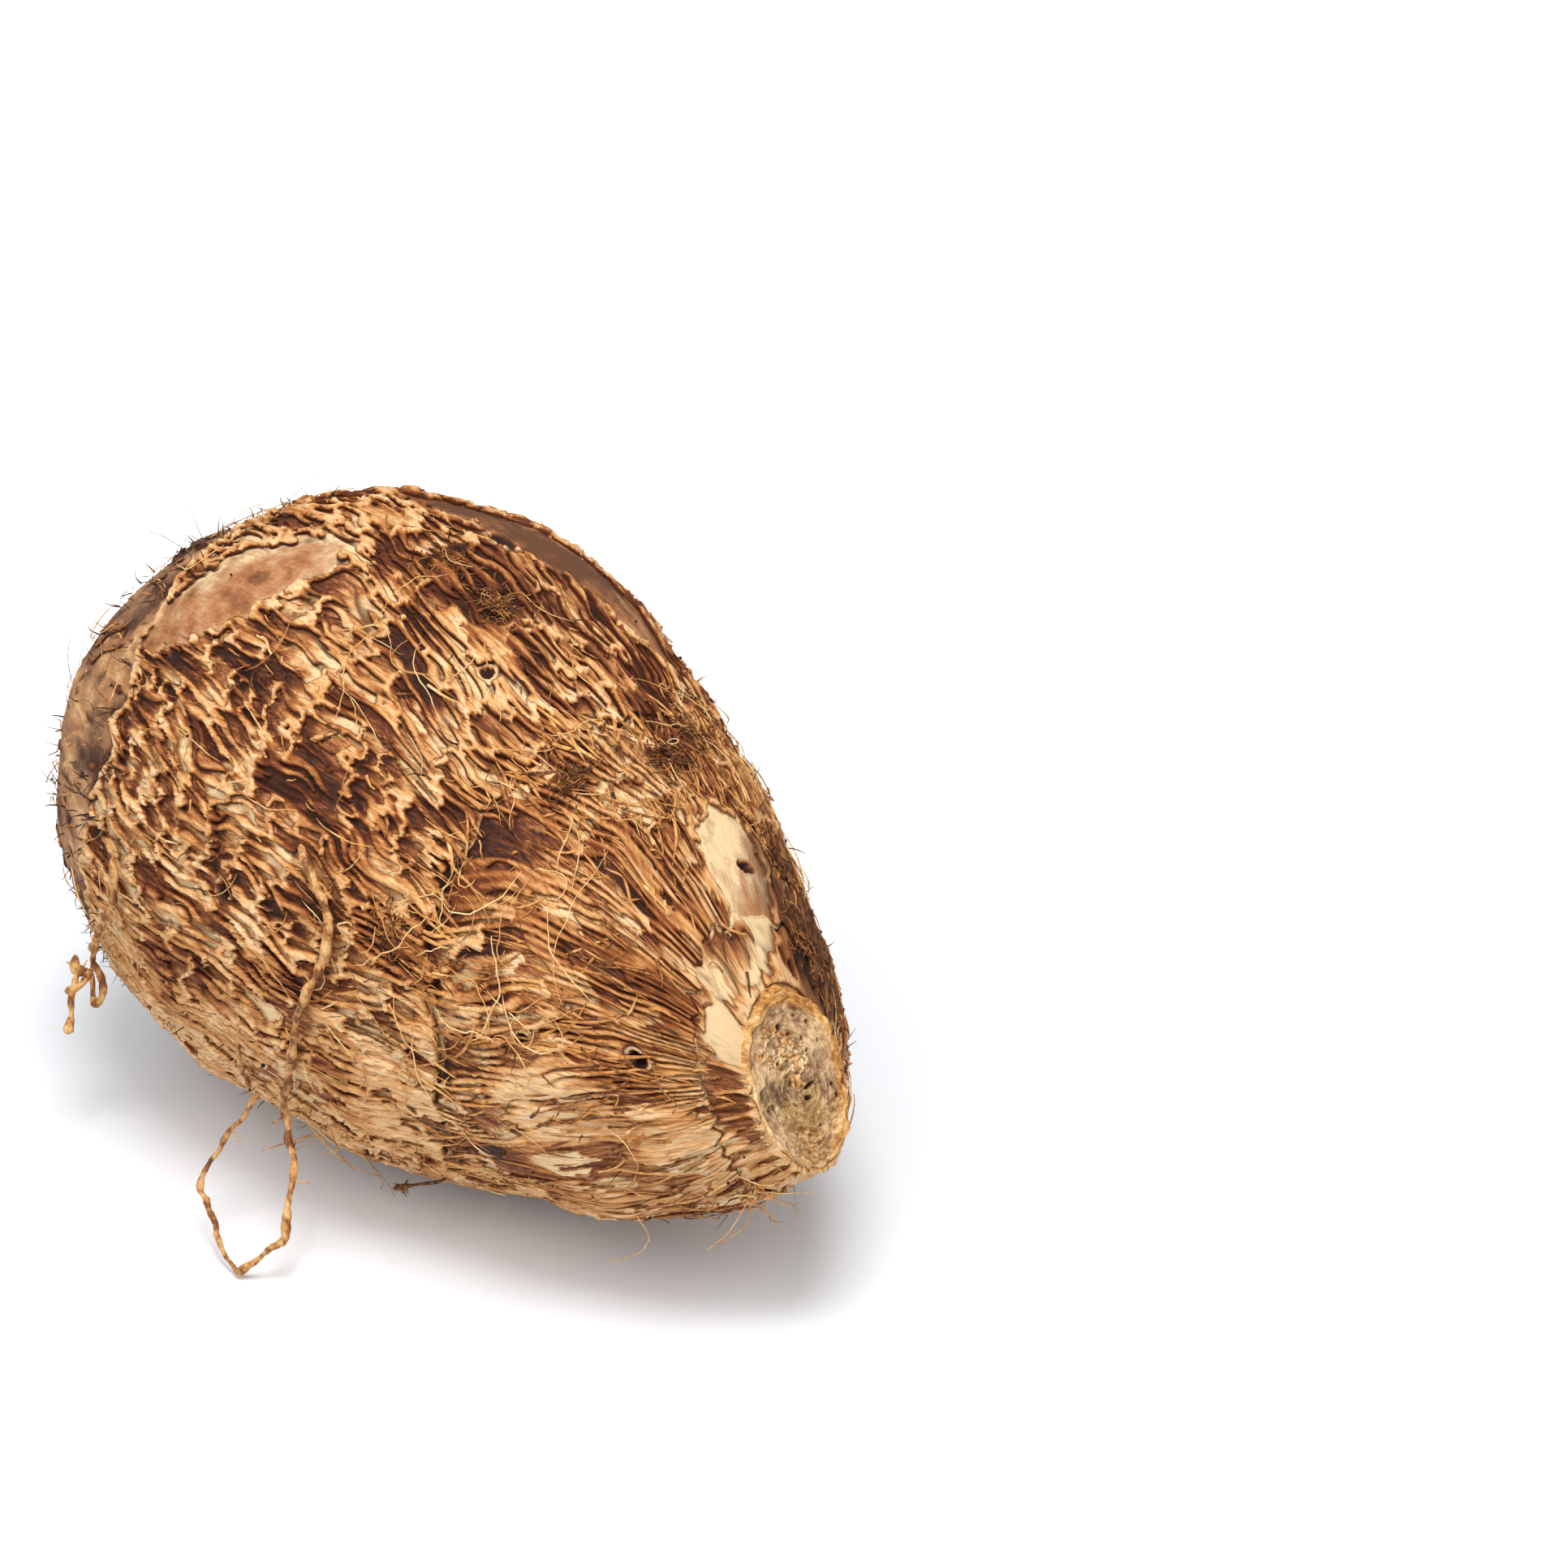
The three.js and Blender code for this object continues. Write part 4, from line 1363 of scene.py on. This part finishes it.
def srgb(red, green, blue):
    """A colour given in 0-255 display values, as Blender's linear values."""
    levels = np.array([red, green, blue]) / 255
    linear = np.where(levels > 0.04045, ((levels + 0.055) / 1.055) ** 2.4, levels / 12.92)
    return (*linear.tolist(), 1.0)


def connect(tree, sockets, inputs):
    """Set each input to a value, or link it to an output."""
    for key, value in inputs.items():
        if isinstance(value, bpy.types.NodeSocket):
            tree.links.new(value, sockets[key])
        else:
            sockets[key].default_value = value


def add_node(tree, kind, inputs=None, **settings):
    made = tree.nodes.new(kind)
    for key, value in settings.items():
        setattr(made, key, value)
    connect(tree, made.inputs, inputs or {})
    return made


def new_material(name):
    material = bpy.data.materials.new(name)
    material.use_nodes = True
    tree = material.node_tree
    tree.nodes.clear()
    output = add_node(tree, "ShaderNodeOutputMaterial")
    shader = add_node(tree, "ShaderNodeBsdfPrincipled")
    tree.links.new(shader.outputs["BSDF"], output.inputs["Surface"])
    return material, tree, shader


def ramp(tree, factor, stops):
    """A colour that goes through stops (place, colour) as a factor goes from 0 to 1."""
    made = add_node(tree, "ShaderNodeValToRGB", {"Fac": factor})
    elements = made.color_ramp.elements
    while len(elements) < len(stops):
        elements.new(0.5)
    for element, (place, colour) in zip(elements, stops):
        element.position = place
        element.color = srgb(*colour)
    return made.outputs["Color"]


def combine(tree, operation, a, b):
    return add_node(tree, "ShaderNodeMath", {0: a, 1: b}, operation=operation).outputs[0]


def remap(tree, value, low, high, new_low, new_high):
    """Ease from one range to another, clamped."""
    inputs = {"Value": value, "From Min": low, "From Max": high}
    inputs.update({"To Min": new_low, "To Max": new_high})
    return add_node(tree, "ShaderNodeMapRange", inputs, interpolation_type="SMOOTHSTEP").outputs[0]


def plus(tree, level, *remapped):
    """A level with a remapped value added to it."""
    return combine(tree, "ADD", level, remap(tree, *remapped))


def mix(tree, factor, a, b):
    made = add_node(tree, "ShaderNodeMix", data_type="RGBA", blend_type="MIX")
    connect(tree, made.inputs, {"Factor": factor, 6: a, 7: b})
    return made.outputs[2]


def attribute(tree, name, output="Fac"):
    return add_node(tree, "ShaderNodeAttribute", attribute_name=name).outputs[output]


def finish_surface(tree, shader, colour, roughness, specular, bumps):
    """Give a shader its colour, its gloss and its fine bumps (height, strength, metres)."""
    settings = dict(zip(("Height", "Strength", "Distance"), bumps))
    bump = add_node(tree, "ShaderNodeBump", settings)
    connect(tree, shader.inputs, {
        "Base Color": colour, "Roughness": roughness, "Specular IOR Level": specular,
        "Normal": bump.outputs["Normal"],
    })


def streaks(tree, vector, across, along, detail=4, roughness=0.6):
    """Noise in streaks: across and along are feature sizes in mm."""
    scale = (1 / across, 1 / across, 1 / along)
    mapped = add_node(tree, "ShaderNodeMapping", {"Vector": vector, "Scale": scale})
    inputs = {"Vector": mapped.outputs[0], "Scale": 1.0, "Detail": detail, "Roughness": roughness}
    return add_node(tree, "ShaderNodeTexNoise", inputs).outputs["Fac"]


LOWER_COLOURS = [
    (0.0, (44, 20, 8)), (0.18, (74, 38, 22)), (0.36, (120, 64, 34)), (0.54, (168, 102, 56)),
    (0.75, (214, 158, 100)), (1.0, (242, 208, 158)),
]
# From painted shade at a rib's sides to painted highlight at its crown, shifted by the bark's tone.
UPPER_COLOURS = [
    (0.0, (106, 50, 18)), (0.28, (158, 92, 42)), (0.55, (204, 142, 82)), (0.78, (226, 172, 114)),
    (1.0, (240, 204, 156)),
]
BARE_COLOURS = [
    (0.0, (104, 64, 36)), (0.25, (148, 94, 56)), (0.45, (182, 122, 76)), (0.65, (196, 148, 106)),
    (0.8, (212, 174, 132)), (1.0, (242, 208, 158)),
]
HUSK_COLOURS = [
    (0.0, (74, 42, 22)), (0.25, (122, 82, 54)), (0.45, (158, 114, 78)), (0.6, (182, 128, 82)),
    (0.8, (204, 156, 108)), (1.0, (230, 186, 138)),
]
# The painted shade round the torn edges, and the thin dark streaks along the grain.
EDGE_SHADE_AND_STREAK_COLOUR = (80, 36, 10)
# The far side's dark fibre mat and its painted shade take this colour.
MATTED_AND_SHADE_COLOUR = (58, 38, 22)


def bark_material(name, smooth_colours):
    """Bark: dark lower skin, pale torn layer, smooth patches; painted shade round the torn edges and
    painted highlight on rib crowns.
    """
    material, tree, shader = new_material(name)
    tone, ridge = attribute(tree, "tone"), attribute(tree, "ridge")
    bare, line = attribute(tree, "bare"), attribute(tree, "line")
    matted, grain = attribute(tree, "matted"), attribute(tree, "grain", "Vector")
    fine = streaks(tree, grain, 0.5, 3.2, detail=6, roughness=0.75)
    middle = streaks(tree, grain, 3, 12)
    broad = streaks(tree, grain, 12, 25)
    mottle = streaks(tree, grain, 2.5, 4, detail=10, roughness=0.75)
    shaded = plus(tree, tone, fine, 0.3, 0.7, -0.24, 0.24)
    shaded = plus(tree, shaded, middle, 0.3, 0.7, -0.12, 0.12)
    lower = ramp(tree, shaded, LOWER_COLOURS)
    # Painted highlight and shade: each rib is paler towards its crown and darker at its sides, as
    # light falls on a rounded rib.
    painted_rib_light = plus(tree, remap(tree, ridge, 0, 1.3, 0.12, 0.6), fine, 0.3, 0.7, -0.26, 0.2)
    painted_rib_light = plus(tree, painted_rib_light, tone, 0, 1, -0.16, 0.3)
    painted_rib_light = plus(tree, painted_rib_light, broad, 0.3, 0.7, -0.12, 0.12)
    upper = ramp(tree, painted_rib_light, UPPER_COLOURS)
    smooth_tone = plus(tree, tone, mottle, 0.32, 0.68, -0.2, 0.2)
    smooth_tone = plus(tree, smooth_tone, fine, 0.3, 0.7, -0.09, 0.09)
    smooth = ramp(tree, smooth_tone, smooth_colours)
    colour = mix(tree, bare, lower, smooth)
    colour = mix(tree, remap(tree, ridge, -0.005, 0.005, 0, 1), colour, upper)
    # Painted shade: a dark line just outside the torn layer's edges and on their rims, darkest away
    # from the light.
    outside = remap(tree, ridge, -0.9, -0.05, 0, 1)
    edge = combine(tree, "MULTIPLY", outside, remap(tree, ridge, 0.02, 0.35, 1, 0))
    edge = combine(tree, "MULTIPLY", edge, line)
    colour = mix(tree, edge, colour, srgb(*EDGE_SHADE_AND_STREAK_COLOUR))
    thread = streaks(tree, grain, 0.35, 4, detail=3)
    thread = combine(tree, "MULTIPLY", remap(tree, thread, 0.41, 0.35, 0, 0.6),
                     remap(tree, bare, 0, 1, 1, 0.25))
    colour = mix(tree, thread, colour, srgb(*EDGE_SHADE_AND_STREAK_COLOUR))
    # Painted shade in part: the far side of the shoulder and neck turns dark.
    colour = mix(tree, combine(tree, "MULTIPLY", matted, 0.6), colour, srgb(*MATTED_AND_SHADE_COLOUR))
    finish_surface(tree, shader, colour, 0.72, 0.3, (fine, 0.8, 0.0004))
    return material


FIBRE_COLOURS = [
    (0.0, (52, 30, 18)), (0.2, (110, 64, 32)), (0.45, (186, 122, 62)), (0.75, (222, 166, 96)),
    (1.0, (246, 214, 158)),
]
ROOT_COLOURS = [
    (0.0, (64, 36, 20)), (0.3, (140, 88, 46)), (0.55, (196, 142, 84)), (0.8, (222, 178, 118)),
    (1.0, (240, 208, 158)),
]
CUT_COLOURS = [
    (0.0, (112, 80, 54)), (0.3, (162, 126, 92)), (0.5, (190, 152, 112)), (0.7, (214, 176, 128)),
    (1.0, (238, 204, 156)),
]
GREEN_COLOURS = [
    (0.0, (64, 46, 26)), (0.35, (112, 86, 56)), (0.65, (152, 120, 82)), (1.0, (206, 178, 134)),
]
KHAKI_COLOURS = [
    (0.0, (140, 100, 54)), (0.35, (184, 148, 98)), (0.65, (208, 174, 120)), (1.0, (232, 200, 148)),
]
CRUMB_COLOURS = [
    (0.0, (124, 64, 24)), (0.3, (196, 138, 82)), (0.6, (226, 180, 122)), (1.0, (244, 216, 174)),
]
RIM_COLOURS = [
    (0.0, (176, 120, 66)), (0.35, (214, 166, 104)), (0.65, (232, 192, 134)), (1.0, (248, 220, 172)),
]
GOLDEN_COLOURS = [
    (0.0, (136, 80, 34)), (0.35, (188, 126, 62)), (0.65, (216, 162, 94)), (1.0, (240, 204, 146)),
]
# The painted shade in the cut's holes, crevices and veins.
PIT_SHADE_COLOUR = (74, 38, 16)


def dry_material(name, colours, blotched, darker=0.0):
    """Dry fibre: a colour for each strand, with streaks and brown blotches along it."""
    material, tree, shader = new_material(name)
    shade, grain = attribute(tree, "shade"), attribute(tree, "grain", "Vector")
    blotch = streaks(tree, grain, 2.2, 2.8, detail=5)
    fine = streaks(tree, grain, 0.4, 2, detail=4)
    level = remap(tree, shade, 0, 1, 0.1 - darker, 1.0 - darker)
    level = plus(tree, level, blotch, 0.3, 0.7, -blotched, 0.6 * blotched)
    level = plus(tree, level, fine, 0.3, 0.7, -0.12, 0.12)
    finish_surface(tree, shader, ramp(tree, level, colours), 0.65, 0.3, (fine, 0.5, 0.0002))
    return material


def cut_material():
    """Dried flesh: a plain layer with the kinds of area laid over it."""
    material, tree, shader = new_material("cut_flesh")
    grain = attribute(tree, "grain", "Vector")
    mottle = streaks(tree, grain, 1.6, 1.6, detail=8, roughness=0.7)
    speckle = streaks(tree, grain, 0.45, 0.6, detail=4, roughness=0.7)
    level = remap(tree, attribute(tree, "height"), -0.9, 0.9, 0.16, 0.72)
    level = plus(tree, level, mottle, 0.32, 0.68, -0.34, 0.34)
    level = plus(tree, level, speckle, 0.35, 0.65, -0.18, 0.18)
    lumps = plus(tree, attribute(tree, "crumb"), mottle, 0.35, 0.65, -0.42, 0.3)
    rim = mix(tree, attribute(tree, "golden"), ramp(tree, level, RIM_COLOURS),
              ramp(tree, level, GOLDEN_COLOURS))
    layers = (
        ("green", ramp(tree, level, GREEN_COLOURS)),
        ("khaki", ramp(tree, level, KHAKI_COLOURS)),
        ("crumbly", ramp(tree, lumps, CRUMB_COLOURS)),
        ("rim", rim),
        # Painted shade in the holes, crevices and veins.
        ("pit", srgb(*PIT_SHADE_COLOUR)),
    )
    colour = ramp(tree, level, CUT_COLOURS)
    for name, layer in layers:
        colour = mix(tree, attribute(tree, name), colour, layer)
    finish_surface(tree, shader, colour, 0.8, 0.25, (speckle, 0.7, 0.0003))
    return material


# ---- Floor, light and camera ---------------------------------------------------------------------
VIEW = {"azimuth": 40.62, "elevation": 25.0, "distance": 720, "target": (-10.2, 94.6, 35.5)}
LENS = 85
SENSOR = 36
WHITE = (1, 1, 1, 1)
AMBIENT = 0.46  # how strong the white world is as light
# In metres and watts: place, aim, size and power.
KEY_LIGHT = ((0.24, -0.2, 0.92), (0, 0, 0.03), 0.4, 5.3)
FILL_LIGHT = ((0.24, -0.52, 0.72), (0, 0, 0.05), 0.8, 4.1)
FLOOR_COLOUR = (0.84, 0.87, 0.905, 1)
FLOOR_ROUGHNESS = 0.9
FLOOR_GLOW = 0.07  # the floor's glow under the corm, which grows to 1 where it's plain white
FLOOR_SIZE = 4.0  # metres from the middle to each side
WHITE_FROM = (0.07, 0.36)  # metres from the middle over which the floor turns to plain white


def camera_only(tree, colour, strength):
    """An emission that only the camera sees."""
    seen = add_node(tree, "ShaderNodeLightPath").outputs["Is Camera Ray"]
    inputs = {"Color": colour, "Strength": combine(tree, "MULTIPLY", seen, strength)}
    return add_node(tree, "ShaderNodeEmission", inputs).outputs[0]


def add_floor():
    mesh = bpy.data.meshes.new("floor")
    s = FLOOR_SIZE
    mesh.from_pydata([(-s, -s, 0), (s, -s, 0), (s, s, 0), (-s, s, 0)], [], [(0, 1, 2, 3)])
    floor = add_object("floor", mesh)
    material, tree, shader = new_material("floor")
    connect(tree, shader.inputs, {"Base Color": FLOOR_COLOUR, "Roughness": FLOOR_ROUGHNESS})
    place = add_node(tree, "ShaderNodeTexCoord").outputs["Object"]
    away = add_node(tree, "ShaderNodeVectorMath", {0: place}, operation="LENGTH").outputs["Value"]
    glow = camera_only(tree, WHITE, remap(tree, away, *WHITE_FROM, FLOOR_GLOW, 1.0))
    both = add_node(tree, "ShaderNodeAddShader", {0: shader.outputs[0], 1: glow})
    tree.links.new(both.outputs[0], tree.nodes["Material Output"].inputs["Surface"])
    mesh.materials.append(material)


def add_area(name, place, aim, size, power):
    light = bpy.data.lights.new(name, "AREA")
    light.shape = "DISK"
    light.size = size
    light.energy = power
    lamp = add_object(name, light)
    lamp.location = place
    lamp.rotation_euler = (Vector(aim) - Vector(place)).to_track_quat("-Z", "Y").to_euler()


def add_light():
    world = bpy.data.worlds.new("studio")
    world.use_nodes = True
    tree = world.node_tree
    seen = add_node(tree, "ShaderNodeLightPath").outputs["Is Camera Ray"]
    strength = combine(tree, "MAXIMUM", seen, AMBIENT)
    connect(tree, tree.nodes["Background"].inputs, {"Color": WHITE, "Strength": strength})
    bpy.context.scene.world = world
    add_area("key", *KEY_LIGHT)
    add_area("fill", *FILL_LIGHT)


def add_camera():
    azimuth, elevation = math.radians(VIEW["azimuth"]), math.radians(VIEW["elevation"])
    level = math.cos(elevation)
    back = Vector((math.sin(azimuth) * level, -math.cos(azimuth) * level, math.sin(elevation)))
    data = bpy.data.cameras.new("camera")
    data.lens = LENS
    data.sensor_width = SENSOR
    camera = add_object("camera", data)
    camera.location = (Vector(VIEW["target"]) + back * VIEW["distance"]) * MM
    camera.rotation_euler = (-back).to_track_quat("-Z", "Y").to_euler()
    bpy.context.scene.camera = camera


# ---- The model -----------------------------------------------------------------------------------
def keep(piece, slot, *nodes):
    """Say what a piece rides on and the CAD nodes that it stands for. slot is not used."""
    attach(piece, "root")
    if nodes:
        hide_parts(*nodes)


def add_roots(material):
    parts = root_parts(LOOPED_ROOT, (0.68, 0.46, 700), (16, (1.5, 4.5), 0.17, 710))
    keep(add_root("looped_root_skin", parts, material), "dry_root", "looped_root")
    parts = root_parts(ROOT_RUN, (0.52, 0.5, 720), (6, (1.5, 4), 0.17, 730))
    for n, branch in enumerate((ROOT_STUB, ROOT_BUD, ROOT_STICK, ROOT_RING)):
        parts += root_parts(branch, (0.55, 0.6, 740 + n), (2, (1, 2.5), 0.18, 750 + n))
    keep(add_root("branched_root_skin", parts, material), "dry_root", "branched_root")
    parts = root_parts(THIN_ROOT, (0.4, 0.3, 760), (8, (1.5, 5), 0.14, 770))
    keep(add_root("thin_root", parts, material), "dry_root")
    parts = root_parts(UNDER_ROOT, (0.3, 0.25, 780), (44, (0.5, 1.7), 0.13, 790), last=2)
    keep(add_root("under_root", parts, material, shade=0.28), "dry_root")


def base_places(count, rng):
    """Random places on the base end."""
    ways = ring_way(LEDGE, np.zeros(count)) * np.sqrt(rng.uniform(0.02, 1, count))
    return ways, rng.uniform(0, 360, count)


def add_loose_fibres(material, dark_material):
    rng = np.random.default_rng([SEED, 800])
    crease = ring_places(CREASE, 90, 5, rng)
    ledge = ring_places(LEDGE, 280, 3.5, rng)
    before_crease = ring_places(CREASE, 260, 2, rng)
    before_crease = before_crease[0] - 5, before_crease[1]
    upper = rng.uniform(CREASE["level"] + 9, COLLAR["level"] - 16, 560), rng.uniform(0, 360, 560)
    pieces = [
        strand_piece("lying_fibres", LYING_FIBRE, scatter(380, rng), material, 801),
        strand_piece("grain_fibres", GRAIN_FIBRE, upper, material, 812),
        strand_piece("bridging_fibres", BRIDGING_FIBRE, before_crease, material, 816),
        strand_piece("curly_fibres", CURLY_FIBRE, scatter(70, rng), material, 802),
        strand_piece("knot_fibres", KNOT_FIBRE, scatter(1500, rng, KNOTS), material, 803),
        strand_piece("long_curls", LONG_CURL, scatter(26, rng, CURL_SPOTS), material, 813),
        strand_piece("crease_fibres", CURLY_FIBRE, crease, material, 804),
        strand_piece("torn_strips", TORN_STRIP, scatter(90, rng), material, 805),
        strand_piece("flake_bits", FLAKE_BIT, scatter(900, rng), material, 815),
        strand_piece("bristles", BRISTLE, scatter(320, rng), dark_material, 806),
        strand_piece("base_bristles", BRISTLE, base_places(220, rng), dark_material, 811),
        strand_piece("ledge_bristles", BRISTLE, ledge, dark_material, 807),
        strand_piece("whiskers", WHISKER, scatter(11, rng, WHISKER_SPOTS), dark_material, 808),
        strand_piece("hanging_fibres", HANGING_FIBRE, scatter(20, rng, HANGING_SPOTS), material, 814),
        add_crumbs("soil_on_knots", scatter(420, rng, KNOTS), (0.12, 0.4), material, 809),
        add_crumbs("soil_crumbs", scatter(130, rng), (0.15, 0.4), dark_material, 810),
    ]
    for piece in pieces:
        keep(piece, "bark")


bpy.context.scene.view_settings.view_transform = "Standard"
add_floor()
add_light()
add_camera()
bark = bark_material("bark", BARE_COLOURS)
base_skin = bark_material("base_skin", HUSK_COLOURS)
for band in BANDS:
    for piece in add_bark(band, base_skin if band["husk"] else bark):
        keep(piece, "bark", "corm")
keep(add_cut_face(cut_material()), "cut_flesh", "corm")
add_roots(dry_material("dry_root", ROOT_COLOURS, blotched=0.42))
add_loose_fibres(dry_material("fibre", FIBRE_COLOURS, blotched=0.16),
                 dry_material("dark_fibre", FIBRE_COLOURS, blotched=0.2, darker=0.55))
